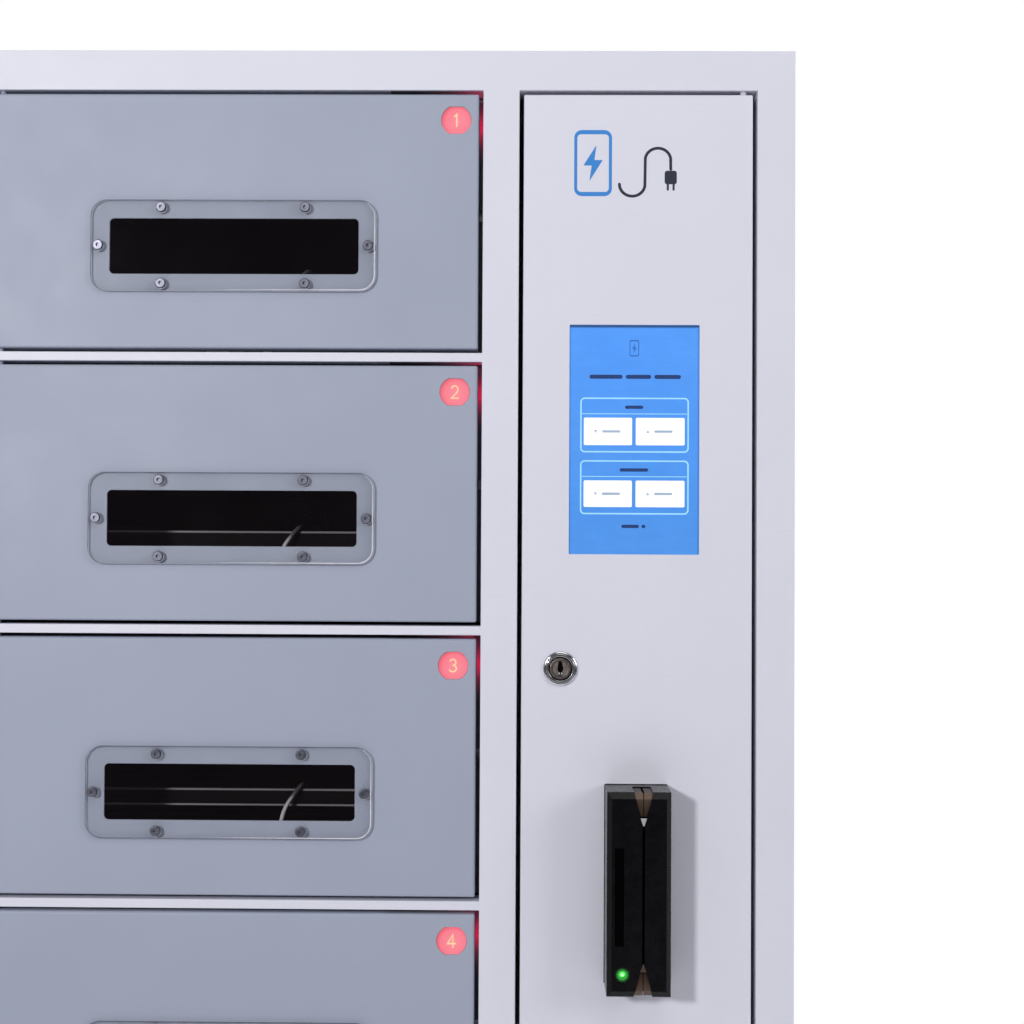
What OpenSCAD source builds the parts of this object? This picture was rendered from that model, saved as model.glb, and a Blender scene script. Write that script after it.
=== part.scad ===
// Phone charging kiosk: a sheet steel cabinet with a column of locked charging compartments
// on the left and a full-height control door on the right.
// Millimetres, +Z up, front towards -Y, origin at the centre of the footprint on the floor.

/* [Cabinet] */
// Depth of the cabinet behind its front face
cabinet_d = 400; // [380:5:450]
// Thickness of the sheet steel
sheet = 1.5; // [1.2:0.1:2]
// Height of the cabinet's base above the floor
foot_h = 38; // [34:1:50]
// Number of compartments in the column
door_count = 8; // [4:1:8]
// Width of the outer stiles
stile_w = 25; // [22:1:35]
// Width of the post between the compartments and the control door
post_w = 24; // [22:1:35]
// Height of the head rail and of the bottom rail
end_rail_h = 26.5; // [22:0.5:40]
// Height of the thin rails between the doors
rail_h = 6; // [6:0.5:12]
// Depth of the folded edges behind the front sheet
frame_fold = 20; // [20:1:24]

/* [Compartment doors] */
// Width of a door opening
bay_w = 331; // [320:1:340]
// Height of a door opening
bay_h = 175; // [172:1:190]
// Gap at each side of a door
side_gap = 3; // [2.5:0.5:4]
// Gap above and below a door
end_gap = 2.5; // [2:0.5:3]
// Depth of a door's folded edges
door_fold = 18; // [16:1:18]
// Length of the window cut-out
window_w = 166; // [120:1:180]
// Height of the window cut-out
window_h = 37; // [30:1:45]
// Height of the window's centre above the door's bottom edge
window_z = 68; // [60:1:80]
// Clear plate's margin around the window cut-out
plate_margin = 12; // [11:1:14]
// Thickness of the clear plate
plate_t = 3; // [2:0.5:4]
// Diameter of the number badge
badge_d = 20; // [16:1:24]
// Height of the badge, where the disc is cut flat
badge_h = 18; // [14:1:20]
// Distance from a door's edge to its hinge axis
hinge_inset = 6; // [6:0.5:7]

/* [Control door] */
// Width of the control door's opening
control_w = 158; // [158:1:190]
// Width of the visible screen
screen_w = 86; // [80:1:100]
// Height of the visible screen
screen_h = 152; // [140:1:170]
// Distance from the control door's top edge to the screen
screen_drop = 153.5; // [120:0.5:200]
// Distance of the screen's middle from the control door's middle, to the left
screen_shift = 2; // [0:0.5:6]
// Distance from the control door's top edge to the key lock's centre
lock_drop = 381; // [350:1:400]
// Distance from the control door's left edge to the key lock's centre
lock_inset = 25.8; // [24:0.1:30]
// Distance from the control door's top edge to the card reader
reader_drop = 457; // [430:1:600]
// Width of the card reader
reader_w = 41; // [40:1:60]
// Height of the card reader
reader_h = 130; // [110:1:150]
// How far the card reader stands out of the door
reader_out = 35; // [28:1:45]

/* [Inside] */
// Height of the phone tray above the compartment floor
tray_h = 62.5; // [55:0.5:65]
// Distance from the cabinet's front face to the phone tray's edge
tray_set = 68.5; // [66:0.5:80]
// Height of the tray's front lip
lip_h = 11.5; // [8:0.5:15]
// Distance from the cabinet's front face to the charger wall
wall_set = 340; // [330:1:345]
// Diameter of a charging lead
lead_d = 3; // [3:0.5:5]
// Diameter of the fan's bore
fan_bore = 76; // [70:1:76]

/* [Hidden] */
$fn = 48;
cut = 1;            // overshoot of a cutting tool
pin_r = 2;          // hinge pin radius
run_gap = 0.08;     // radial clearance of a running fit
m3_r = 1.5;
m3_head_r = 3;
m3_head_h = 2.2;
m4_r = 2;
inlet_out = 2.5;    // power inlet's flange behind the rear panel
rear_out = sheet + inlet_out;

// The column of doors and the whole cabinet
pitch = bay_h + rail_h;
column_h = door_count * pitch - rail_h;
cabinet_w = 2 * stile_w + bay_w + post_w + control_w;
cabinet_h = column_h + 2 * end_rail_h;
left = -cabinet_w / 2;
right = cabinet_w / 2;
front = (reader_out - cabinet_d - rear_out) / 2;
back = front + cabinet_d;
top = foot_h + cabinet_h;
column_top = top - end_rail_h;
column_bottom = foot_h + end_rail_h;

// Openings in the front frame, left to right
bay_left = left + stile_w;
bay_right = bay_left + bay_w;
control_left = bay_right + post_w;
control_right = control_left + control_w;

// Compartment doors
door_w = bay_w - 2 * side_gap;
door_h = bay_h - 2 * end_gap;
door_left = bay_left + side_gap;
door_right = bay_right - side_gap;
door_mid = (door_left + door_right) / 2;
hinge_set = 5;                       // hinge axis behind the front face
pin_reach = end_gap + 2.5;           // pin standing out of a door's edge
pin_root = 10;                       // pin inside the door
plate_w = window_w + 2 * plate_margin;
plate_h = window_h + 2 * plate_margin;
plate_corner = 11;
window_corner = 3;
plate_end_inset = 5.3;               // end screws, from the plate's ends
plate_side_inset = 5.2;              // side screws, from the plate's long edges
plate_quarter = 47.2;                // side screws, from the plate's ends
badge_inset = 15;                    // badge centre, from the door's right edge
badge_drop = 17.5;                   // badge centre, from the door's top edge
latch_drop = 78;                     // latch, from the door's top edge
hook_t = 3;
hook_x = door_right - 8;             // middle of the latch hook
hook_end = 36;                       // hook's tip behind the front face
lock_box = [18, 60, 36];             // electric latch lock
lock_box_set = 24;                   // its front behind the front face
lock_mouth = [8, 16, 16];

// Control door
panel_left = control_left + side_gap;
panel_right = control_right - side_gap;
panel_w = panel_right - panel_left;
panel_mid = (panel_left + panel_right) / 2;
panel_top = column_top - end_gap;
panel_bottom = column_bottom + end_gap;
screen_top = panel_top - screen_drop;
screen_mid = screen_top - screen_h / 2;
screen_x = panel_mid - screen_shift;
glass_t = 1.1;
glass_rim = 6;
ui_gap = 0.4;                        // between the glass and the display
display_t = 8;
lock_x = panel_left + lock_inset;
lock_z = panel_top - lock_drop;
ring_r = 11.5;
ring_out = 2.5;
barrel_r = 9.5;
barrel_end = 20;
plug_r = 7.5;
cam_t = 3;
cam_len = 34;
cam_w = 14;
reader_top = panel_top - reader_drop;
reader_bottom = reader_top - reader_h;
slot_x = panel_mid + 2.8;            // card slot, right of the reader's centre
slot_w = 1.6;
slot_depth = 26;
throat_w = 12.5;                     // wide end of the slot's lead-in
throat_h = 22;
reader_side_chamfer = 3;
reader_end_chamfer = [4, 3];         // height and depth of the bevel at the reader's ends
lens = [5.9, 62.4];                  // dark lens in the reader's front
lens_x = panel_mid - 12.5;
lens_top = reader_top - 35.2;
lamp_r = 2;
lamp_x = panel_mid - 10.5;
lamp_z = reader_top - 115.5;

// Inside
bay_floor = function(n) column_top - n * pitch + rail_h;    // floor of compartment n
latch_z = function(n) bay_floor(n) + bay_h - end_gap - latch_drop;
inner_left = left + sheet;
inner_right = right - sheet;
divide_x = bay_right;                // left face of the partition
module_hole = [30, 20];
lead_up = 18;                        // lead's exit above the tray
lead_out = 8;                        // strain relief in front of the charger wall
fan_size = 80;
fan_t = 25;
fan_mid = [(control_left + control_right) / 2, top - 95];
fan_hub_r = 16;
blade_count = 7;
stud_r = 5;
pad_r = 22;
pad_h = 10;
foot_inset = 45;
inlet_mid = [control_right - 55, foot_h + 75];
rear_screw_rows = 5;
rear_strip_w = 15;

// Hand-laid route of a charging lead: x from the door's middle, distance behind the front
// face, height above the compartment floor
lead_route = [
  [0, wall_set - 3, tray_h + lead_up],
  [0, wall_set - 20, tray_h + lead_up],
  [1.5, wall_set - 34, tray_h + 15.5],
  [4, wall_set - 48, tray_h + 9.5],
  [8, wall_set - 62, tray_h + 3.8],
  [13, wall_set - 76, tray_h + 2],
  [25, wall_set - 120, tray_h + 2],
  [35, wall_set - 165, tray_h + 2],
  [40, wall_set - 215, tray_h + 2],
  [39.5, tray_set + 9, tray_h + 2],
  [38.5, tray_set + 2.5, tray_h + 2.9],
  [36.5, tray_set - 3.2, tray_h + 0.9],
  [33, tray_set - 6.6, tray_h - 3.9],
  [28, tray_set - 8, tray_h - 12],
  [25, tray_set - 8.5, tray_h - 22],
  [22, tray_set - 9.5, 24],
  [16, tray_set - 11.5, 10],
  [6, tray_set - 14, 4.2],
  [-8, tray_set - 17, 3.4]
];
// Each lead leans a little differently from this point on, as it drops in front of the tray
lip_point = 9;
lead_lean = [2, -3, 0, 4, -2, 3, -4, 1];

// A block between two corners, its y counted from the front face backwards
module block(low, high) {
  translate([low[0], front + low[1], low[2]])
    cube([high[0] - low[0], high[1] - low[1], high[2] - low[2]]);
}

// A round bar along Y, its start counted from the front face backwards
module bar_y(x, start, z, r, length) {
  translate([x, front + start, z]) rotate([-90, 0, 0]) cylinder(r = r, h = length);
}

// A rectangle with round corners in the XZ plane, along Y
module round_block(mid_x, mid_z, w, h, r, start, length) {
  for (sx = [-1, 1], sz = [-1, 1])
    bar_y(mid_x + sx * (w / 2 - r), start, mid_z + sz * (h / 2 - r), r, length);
  block([mid_x - w / 2 + r, start, mid_z - h / 2], [mid_x + w / 2 - r, start + length, mid_z + h / 2]);
  block([mid_x - w / 2, start, mid_z - h / 2 + r], [mid_x + w / 2, start + length, mid_z + h / 2 - r]);
}

// Folded tray of sheet: a front face with four folded edges, open at the back
module folded_face(x0, x1, z0, z1) {
  difference() {
    block([x0, 0, z0], [x1, door_fold, z1]);
    block([x0 + sheet, sheet, z0 + sheet], [x1 - sheet, door_fold + cut, z1 - sheet]);
  }
}

// Hinge pins at the top and bottom edges of a door
module hinge_pins(x, z0, z1) {
  translate([x, front + hinge_set, z1 - pin_root]) cylinder(r = pin_r, h = pin_root + pin_reach);
  translate([x, front + hinge_set, z0 - pin_reach]) cylinder(r = pin_r, h = pin_root + pin_reach);
}

// Bores for one hinge line through the whole frame
module hinge_bores(x) {
  translate([x, front + hinge_set, foot_h]) cylinder(r = pin_r + run_gap, h = cabinet_h - cut * 5);
}

module frame_stiles() {
  z0 = column_bottom;
  z1 = column_top;
  color("#dadbe8") {
    block([left, 0, z0], [bay_left, sheet, z1]);
    block([bay_left - sheet, sheet, z0], [bay_left, frame_fold, z1]);
    block([bay_right, 0, z0], [control_left, sheet, z1]);
    difference() {
      block([bay_right, sheet, z0], [bay_right + sheet, frame_fold, z1]);
      for (n = [1:door_count]) {
        z = latch_z(n);
        block([bay_right - cut, sheet + 1, z - 3], [bay_right + sheet + cut, frame_fold - 5, z + 3]);
      }
    }
    block([control_left - sheet, sheet, z0], [control_left, frame_fold, z1]);
    block([control_right, 0, z0], [right, sheet, z1]);
    block([control_right, sheet, z0], [control_right + sheet, frame_fold, z1]);
    // rear corner strips that take the rear panel's screws
    difference() {
      for (x0 = [inner_left, inner_right - rear_strip_w])
        block([x0, cabinet_d - sheet, foot_h + sheet], [x0 + rear_strip_w, cabinet_d, top - sheet]);
      rear_screw_holes(m4_r);
    }
  }
}

// One thin rail: a folded channel, open at the back
module thin_rail(z0) {
  difference() {
    block([bay_left, 0, z0], [bay_right, frame_fold, z0 + rail_h]);
    block([bay_left - cut, sheet, z0 + sheet], [bay_right + cut, frame_fold + cut, z0 + rail_h - sheet]);
  }
}

module frame_rails() {
  color("#dadbe8") difference() {
    union() {
      block([left, 0, column_top], [right, sheet, top]);
      block([left + sheet, sheet, column_top], [right - sheet, frame_fold, column_top + sheet]);
      block([left, 0, foot_h], [right, sheet, column_bottom]);
      block([left + sheet, sheet, column_bottom - sheet], [right - sheet, frame_fold, column_bottom]);
      for (n = [1:door_count - 1]) thin_rail(column_top - n * pitch);
    }
    hinge_bores(door_left + hinge_inset);
    hinge_bores(panel_right - hinge_inset);
  }
}

module side_panels() {
  color("#c8c9d6") for (x0 = [left, inner_right])
    block([x0, sheet, foot_h], [x0 + sheet, cabinet_d, top]);
}

module top_panel() {
  color("#c8c9d6") block([inner_left, sheet, top - sheet], [inner_right, cabinet_d, top]);
}

module base_panel() {
  color("#c8c9d6") difference() {
    block([inner_left, sheet, foot_h], [inner_right, cabinet_d, foot_h + sheet]);
    for (p = foot_places()) translate([p[0], p[1], foot_h - cut]) cylinder(r = stud_r + 0.2, h = sheet + 2 * cut);
  }
}

function foot_places() = [
  for (sx = [-1, 1], y = [front + foot_inset, back - foot_inset]) [sx * (cabinet_w / 2 - foot_inset), y]
];

// Screws that hold the rear panel, a row up each side
function rear_screw_places() = [
  for (sx = [-1, 1], n = [0:rear_screw_rows - 1])
    [sx * (cabinet_w / 2 - 9), foot_h + 40 + n * (cabinet_h - 80) / (rear_screw_rows - 1)]
];

module rear_screw_holes(r) {
  for (p = rear_screw_places()) bar_y(p[0], cabinet_d - 10, p[1], r, 20);
}

module rear_panel() {
  slot_h = 4;
  slot_pitch = 10;
  vent = [120, 12];     // length of a louvre slot, and how many there are
  color("#c8c9d6") difference() {
    block([left + 1, cabinet_d, foot_h + 1], [right - 1, cabinet_d + sheet, top - 1]);
    rear_screw_holes(m4_r + 0.2);
    // slots behind the fan, as long as the fan's bore is wide there
    for (n = [-3:3]) {
      half = sqrt(pow(fan_bore / 2 - 3, 2) - pow(n * slot_pitch, 2));
      block([fan_mid[0] - half, cabinet_d - cut, fan_mid[1] + n * slot_pitch - slot_h / 2],
            [fan_mid[0] + half, cabinet_d + sheet + cut, fan_mid[1] + n * slot_pitch + slot_h / 2]);
    }
    // louvre slots low in the control bay and behind the chargers
    for (x = [fan_mid[0], door_mid - 70, door_mid + 70], n = [0:vent[1] - 1])
      block([x - vent[0] / 2, cabinet_d - cut, foot_h + 260 + n * slot_pitch],
            [x + vent[0] / 2, cabinet_d + sheet + cut, foot_h + 260 + n * slot_pitch + slot_h]);
    block([inlet_mid[0] - 14, cabinet_d - cut, inlet_mid[1] - 10],
          [inlet_mid[0] + 14, cabinet_d + sheet + cut, inlet_mid[1] + 10]);
  }
}

module rear_screws() {
  color("#8c8f96") for (p = rear_screw_places()) {
    bar_y(p[0], cabinet_d - 7, p[1], m4_r, 7 + sheet);
    difference() {
      bar_y(p[0], cabinet_d + sheet, p[1], 3.8, m3_head_h);
      bar_y(p[0], cabinet_d + sheet + 1, p[1], 1.3, 2, $fn = 6);
    }
  }
}

module partition() {
  color("#c8c9d6") block([divide_x, frame_fold, foot_h + sheet], [divide_x + sheet, cabinet_d, top - sheet]);
}

module compartment_floors() {
  color("#3c3e44") for (n = [1:door_count])
    block([inner_left, frame_fold, bay_floor(n) - sheet], [divide_x, wall_set, bay_floor(n)]);
}

// Level trays with their front and sides folded down
module phone_trays() {
  color("#3c3e44") for (n = [1:door_count]) {
    z = bay_floor(n) + tray_h;
    block([inner_left, tray_set, z - sheet], [divide_x, wall_set, z]);
    block([inner_left, tray_set, z - lip_h], [divide_x, tray_set + sheet, z - sheet]);
    block([inner_left, tray_set + sheet, z - lip_h], [inner_left + sheet, wall_set, z - sheet]);
    block([divide_x - sheet, tray_set + sheet, z - lip_h], [divide_x, wall_set, z - sheet]);
  }
}

module charger_wall() {
  color("#3c3e44") difference() {
    block([inner_left, wall_set, foot_h + sheet], [divide_x, wall_set + sheet, top - sheet]);
    for (n = [1:door_count]) {
      z = bay_floor(n) + tray_h + lead_up;
      block([door_mid - module_hole[0] / 2, wall_set - cut, z - module_hole[1] / 2],
            [door_mid + module_hole[0] / 2, wall_set + sheet + cut, z + module_hole[1] / 2]);
    }
  }
}

// Charger module: box behind the wall, flange and strain relief in front of it
module charger_modules() {
  body = [29.6, 34, 19.6];
  color("#1c1d20") for (n = [1:door_count]) {
    z = bay_floor(n) + tray_h + lead_up;
    difference() {
      union() {
        block([door_mid - body[0] / 2, wall_set, z - body[2] / 2],
              [door_mid + body[0] / 2, wall_set + body[1], z + body[2] / 2]);
        round_block(door_mid, z, 38, 26, 3, wall_set - 3, 3);
        bar_y(door_mid, wall_set - lead_out, z, 5.5, 6);
      }
      bar_y(door_mid, wall_set - lead_out - cut, z, lead_d / 2 + 0.2, 12);
    }
  }
}

module latch_locks() {
  color("#4a4d55") for (n = [1:door_count]) {
    z = latch_z(n);
    difference() {
      block([divide_x - lock_box[0], lock_box_set, z - lock_box[2] / 2],
            [divide_x, lock_box_set + lock_box[1], z + lock_box[2] / 2]);
      block([hook_x - lock_mouth[0] / 2, lock_box_set - cut, z - lock_mouth[2] / 2],
            [hook_x + lock_mouth[0] / 2, lock_box_set + lock_mouth[1], z + lock_mouth[2] / 2]);
    }
  }
}

module foot_pads() {
  color("#232428") for (p = foot_places()) translate([p[0], p[1], 0]) difference() {
    rotate_extrude() polygon([[0, 0], [pad_r, 0], [pad_r, 6], [pad_r - 5, pad_h], [0, pad_h]]);
    translate([0, 0, pad_h - 4]) cylinder(r = stud_r, h = 5);
  }
}

module foot_studs() {
  color("#b9bcc2") for (p = foot_places()) translate([p[0], p[1], 0]) {
    translate([0, 0, pad_h - 4]) cylinder(r = stud_r, h = foot_h + 26 - pad_h);
    translate([0, 0, foot_h - 6]) cylinder(r = 9.8, h = 6, $fn = 6);
    translate([0, 0, foot_h + sheet]) cylinder(r = 9.8, h = 8, $fn = 6);
  }
}

module power_inlet() {
  color("#1c1d20") difference() {
    union() {
      round_block(inlet_mid[0], inlet_mid[1], 50, 24, 4, cabinet_d + sheet, inlet_out);
      block([inlet_mid[0] - 13.8, cabinet_d - 22, inlet_mid[1] - 9.8],
            [inlet_mid[0] + 13.8, cabinet_d + sheet, inlet_mid[1] + 9.8]);
    }
    difference() {
      block([inlet_mid[0] - 12, cabinet_d - 17, inlet_mid[1] - 8],
            [inlet_mid[0] + 12, cabinet_d + rear_out + cut, inlet_mid[1] + 8]);
      for (p = [[-7, -2], [0, 2], [7, -2]])
        block([inlet_mid[0] + p[0] - 1, cabinet_d - 18, inlet_mid[1] + p[1] - 2],
              [inlet_mid[0] + p[0] + 1, cabinet_d - 4, inlet_mid[1] + p[1] + 2]);
    }
  }
}

module fan_frame() {
  start = cabinet_d - fan_t - sheet;
  hub_start = start + fan_t - 4;
  reach = fan_bore / 2 + 1;
  color("#232428") difference() {
    union() {
      difference() {
        round_block(fan_mid[0], fan_mid[1], fan_size, fan_size, 5, start, fan_t);
        bar_y(fan_mid[0], start - cut, fan_mid[1], fan_bore / 2, fan_t + 2 * cut);
        for (sx = [-1, 1], sz = [-1, 1])
          bar_y(fan_mid[0] + sx * 35.75, start - cut, fan_mid[1] + sz * 35.75, 2.15, fan_t + 2 * cut);
      }
      bar_y(fan_mid[0], hub_start, fan_mid[1], fan_hub_r, 4);
      block([fan_mid[0] - reach, hub_start + 0.5, fan_mid[1] - 2.5], [fan_mid[0] + reach, hub_start + 3.5, fan_mid[1] + 2.5]);
      block([fan_mid[0] - 2.5, hub_start + 0.5, fan_mid[1] - reach], [fan_mid[0] + 2.5, hub_start + 3.5, fan_mid[1] + reach]);
    }
    bar_y(fan_mid[0], hub_start - cut, fan_mid[1], pin_r + run_gap, 3.5 + cut);
  }
}

module fan_rotor() {
  start = cabinet_d - fan_t - sheet + 2;
  tip = fan_bore / 2 - 1.5;
  color("#2c2e33") {
    bar_y(fan_mid[0], start, fan_mid[1], fan_hub_r, 18.4);
    bar_y(fan_mid[0], start + 18, fan_mid[1], pin_r, 3.4);
    intersection() {
      bar_y(fan_mid[0], start, fan_mid[1], tip, 18);
      for (n = [0:blade_count - 1])
        translate([fan_mid[0], front + start + 9, fan_mid[1]]) rotate([0, n * 360 / blade_count, 0])
          rotate([40, 0, 0]) translate([fan_hub_r - 3, -0.9, -13]) cube([fan_bore, 1.8, 26]);
    }
  }
}

module power_supply() {
  color("#a9adb3") difference() {
    block([inner_right - 50, 150, foot_h + 120], [inner_right, 360, foot_h + 220]);
    for (n = [0:9])
      block([inner_right - 51, 170 + n * 16, foot_h + 135], [inner_right - 48, 178 + n * 16, foot_h + 205]);
  }
}

// Point k of a compartment's lead, in the part's frame
function lead_point(n, k) = [
  door_mid + lead_route[k][0] + (k < lip_point ? 0 : lead_lean[n - 1]),
  front + lead_route[k][1],
  bay_floor(n) + lead_route[k][2]
];

function unit(v) = v / norm(v);

// Direction of the lead at one point of its route
function lead_dir(pts, k) = unit(pts[min(k + 1, len(pts) - 1)] - pts[max(k - 1, 0)]);

// A round tube along a list of points
module lead_tube(pts, r, sides) {
  count = len(pts);
  rings = [
    for (k = [0:count - 1], s = [0:sides - 1])
      let (d = lead_dir(pts, k), across = unit(cross(d, [1, 0, 0])), over = cross(across, d), turn = s * 360 / sides)
        pts[k] + r * (cos(turn) * over + sin(turn) * across)
  ];
  faces = [
    [for (s = [0:sides - 1]) s],
    [for (s = [0:sides - 1]) count * sides - 1 - s],
    for (k = [0:count - 2], s = [0:sides - 1])
      let (a = k * sides + s, b = k * sides + (s + 1) % sides) [a, a + sides, b + sides, b]
  ];
  polyhedron(points = rings, faces = faces, convexity = 6);
}

module charging_leads() {
  color("#e8e8ea") for (n = [1:door_count])
    lead_tube([for (k = [0:len(lead_route) - 1]) lead_point(n, k)], lead_d / 2, 8);
}

// Plug at the end of a lead: a moulded grip and its metal shell
module charging_plugs() {
  last = len(lead_route) - 1;
  grip = [10.5, 22, 6.4];
  shell = [8.3, 6.6, 2.5];
  color("#e8e8ea") for (n = [1:door_count]) {
    end = lead_point(n, last);
    way = end - lead_point(n, last - 1);
    translate(end) rotate([0, 0, atan2(way[1], way[0]) + 90]) {
      translate([-grip[0] / 2, -grip[1], -grip[2] / 2]) cube(grip);
      translate([-shell[0] / 2, -grip[1] - shell[1], -shell[2] / 2]) cube(shell);
    }
  }
}

function door_bottom(n) = bay_floor(n) + end_gap;

// Places of the six screws that hold a window plate, from the plate's middle
plate_screws = [
  for (sx = [-1, 1], sz = [-1, 1]) [sx * (plate_w / 2 - plate_quarter), sz * (plate_h / 2 - plate_side_inset)],
  for (sx = [-1, 1]) [sx * (plate_w / 2 - plate_end_inset), 0]
];

module badge_disc(z, r, h, start, length) {
  intersection() {
    bar_y(door_right - badge_inset, start, z, r, length);
    block([door_right - badge_inset - r, start - cut, z - h / 2], [door_right - badge_inset + r, start + length + cut, z + h / 2]);
  }
}

module door(n) {
  z0 = door_bottom(n);
  color("#a5acbe") {
    difference() {
      folded_face(door_left, door_right, z0, z0 + door_h);
      round_block(door_mid, z0 + window_z, window_w, window_h, window_corner, -cut, sheet + 2 * cut);
      badge_disc(z0 + door_h - badge_drop, badge_d / 2, badge_h, -cut, sheet + 2 * cut);
      for (p = plate_screws) bar_y(door_mid + p[0], -cut, z0 + window_z + p[1], m3_r + 0.1, sheet + 2 * cut);
    }
    hinge_pins(door_left + hinge_inset, z0, z0 + door_h);
  }
}

module window(n) {
  z = door_bottom(n) + window_z;
  color("#99a2b1", 0.4) difference() {
    round_block(door_mid, z, plate_w, plate_h, plate_corner, -plate_t, plate_t);
    for (p = plate_screws) bar_y(door_mid + p[0], -plate_t - cut, z + p[1], m3_r + 0.1, plate_t + 2 * cut);
  }
}

module number_light(n) {
  z = door_bottom(n) + door_h - badge_drop;
  x = door_right - badge_inset;
  color("#fa949d") {
    badge_disc(z, badge_d / 2 - 0.1, badge_h - 0.2, 0.3, sheet - 0.3);
    block([x - 13, sheet, z - 11.5], [x + 13, 9, z + 11.5]);
  }
}

// Window screws with their nuts, and the latch hook
module fittings(n) {
  z = door_bottom(n) + window_z;
  hook_z = latch_z(n);
  color("#4e4e56") {
    for (p = plate_screws) {
      bar_y(door_mid + p[0], -plate_t, z + p[1], m3_r, plate_t + sheet + 4);
      bar_y(door_mid + p[0], sheet, z + p[1], 3.1, 2.4, $fn = 6);
      difference() {
        bar_y(door_mid + p[0], -plate_t - m3_head_h, z + p[1], m3_head_r, m3_head_h);
        bar_y(door_mid + p[0], -plate_t - m3_head_h - cut, z + p[1], 1.15, cut + 1.3, $fn = 6);
      }
    }
    block([hook_x - 20, sheet, hook_z - 12], [hook_x + hook_t / 2, sheet + 2, hook_z + 12]);
    difference() {
      block([hook_x - hook_t / 2, sheet + 2, hook_z - 5], [hook_x + hook_t / 2, hook_end, hook_z + 5]);
      block([hook_x - hook_t, hook_end - 9, hook_z - 2.5], [hook_x + hook_t, hook_end - 3, hook_z + 2.5]);
    }
  }
}

module control_door() {
  color("#dadbe8") {
    difference() {
      folded_face(panel_left, panel_right, panel_bottom, panel_top);
      block([screen_x - screen_w / 2, -cut, screen_mid - screen_h / 2],
            [screen_x + screen_w / 2, sheet + cut, screen_mid + screen_h / 2]);
      bar_y(lock_x, -cut, lock_z, barrel_r + 0.1, sheet + 2 * cut);
      for (p = reader_studs()) bar_y(p[0], -cut, p[1], m4_r + 0.1, sheet + 2 * cut);
      block([panel_mid - 9, -cut, reader_bottom + 50], [panel_mid + 9, sheet + cut, reader_bottom + 86]);
    }
    hinge_pins(panel_right - hinge_inset, panel_bottom, panel_top);
  }
}

module screen_glass() {
  color("#20242c", 0.5)
    block([screen_x - screen_w / 2 - glass_rim, sheet, screen_mid - screen_h / 2 - glass_rim],
          [screen_x + screen_w / 2 + glass_rim, sheet + glass_t, screen_mid + screen_h / 2 + glass_rim]);
}

// Display in its can, a rim that carries the glass, the main board on its back, and clamps
module display_module() {
  start = sheet + glass_t;
  rim = 4;
  w = screen_w / 2 + glass_rim;
  h = screen_h / 2 + glass_rim;
  color("#5a9dfd") {
    difference() {
      block([screen_x - w, start, screen_mid - h], [screen_x + w, start + display_t, screen_mid + h]);
      block([screen_x - w + rim, start - cut, screen_mid - h + rim], [screen_x + w - rim, start + ui_gap, screen_mid + h - rim]);
    }
    block([screen_x - 40, start + display_t, screen_mid - 55], [screen_x + 40, start + display_t + 14, screen_mid + 55]);
    for (sx = [-1, 1], sz = [-1, 1]) {
      x = screen_x + sx * (w + 4);
      z = screen_mid + sz * (h - 20);
      block([x - 4, sheet, z - 8], [x + 4, start + display_t, z + 8]);
    }
  }
}

// The reader's four fixing studs
function reader_studs() = [
  for (sx = [-1, 1], sz = [-1, 1]) [panel_mid + sx * 15, (reader_top + reader_bottom) / 2 + sz * 50]
];

// Side and plan outlines with chamfered front edges
module reader_block() {
  c = reader_side_chamfer;
  rise = reader_end_chamfer[0];
  run = reader_end_chamfer[1];
  intersection() {
    translate([panel_mid - reader_w / 2, front, 0]) rotate([90, 0, 90])
      linear_extrude(reader_w) polygon([
        [0, reader_bottom], [-reader_out + run, reader_bottom], [-reader_out, reader_bottom + rise],
        [-reader_out, reader_top - rise], [-reader_out + run, reader_top], [0, reader_top]
      ]);
    translate([panel_mid, front, reader_bottom]) linear_extrude(reader_h) polygon([
      [-reader_w / 2, 0], [-reader_w / 2, -reader_out + c], [-reader_w / 2 + c, -reader_out],
      [reader_w / 2 - c, -reader_out], [reader_w / 2, -reader_out + c], [reader_w / 2, 0]
    ]);
  }
}

// Wedge that widens the card slot towards one end of the reader
module slot_throat(z, way) {
  translate([slot_x, front - reader_out + slot_depth, z]) rotate([90, 0, 0])
    linear_extrude(slot_depth + cut) polygon([
      [-throat_w / 2, way * cut], [throat_w / 2, way * cut],
      [slot_w / 2, -way * throat_h], [-slot_w / 2, -way * throat_h]
    ]);
}

module card_reader() {
  color("#111114") {
    difference() {
      reader_block();
      block([slot_x - slot_w / 2, -reader_out - cut, reader_bottom - cut],
            [slot_x + slot_w / 2, -reader_out + slot_depth, reader_top + cut]);
      slot_throat(reader_top, 1);
      slot_throat(reader_bottom, -1);
      block([lens_x - lens[0] / 2, -reader_out - cut, lens_top - lens[1]],
            [lens_x + lens[0] / 2, -reader_out + 1.2, lens_top]);
      bar_y(lamp_x, -reader_out - cut, lamp_z, lamp_r + 0.05, 5 + cut);
    }
    for (p = reader_studs()) {
      bar_y(p[0], 0, p[1], m4_r, 9);
      bar_y(p[0], sheet, p[1], 4, 3.2, $fn = 6);
    }
    block([panel_mid - 8.5, 0, reader_bottom + 50.5], [panel_mid + 8.5, 12, reader_bottom + 85.5]);
  }
}

module reader_lamp() {
  dome_base = -reader_out + lamp_r + 0.2;
  color("#4be25a") {
    bar_y(lamp_x, dome_base, lamp_z, lamp_r, 2.8);
    translate([lamp_x, front + dome_base, lamp_z]) intersection() {
      sphere(r = lamp_r);
      translate([-lamp_r, -lamp_r, -lamp_r]) cube([2 * lamp_r, lamp_r, 2 * lamp_r]);
    }
  }
}

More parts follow.
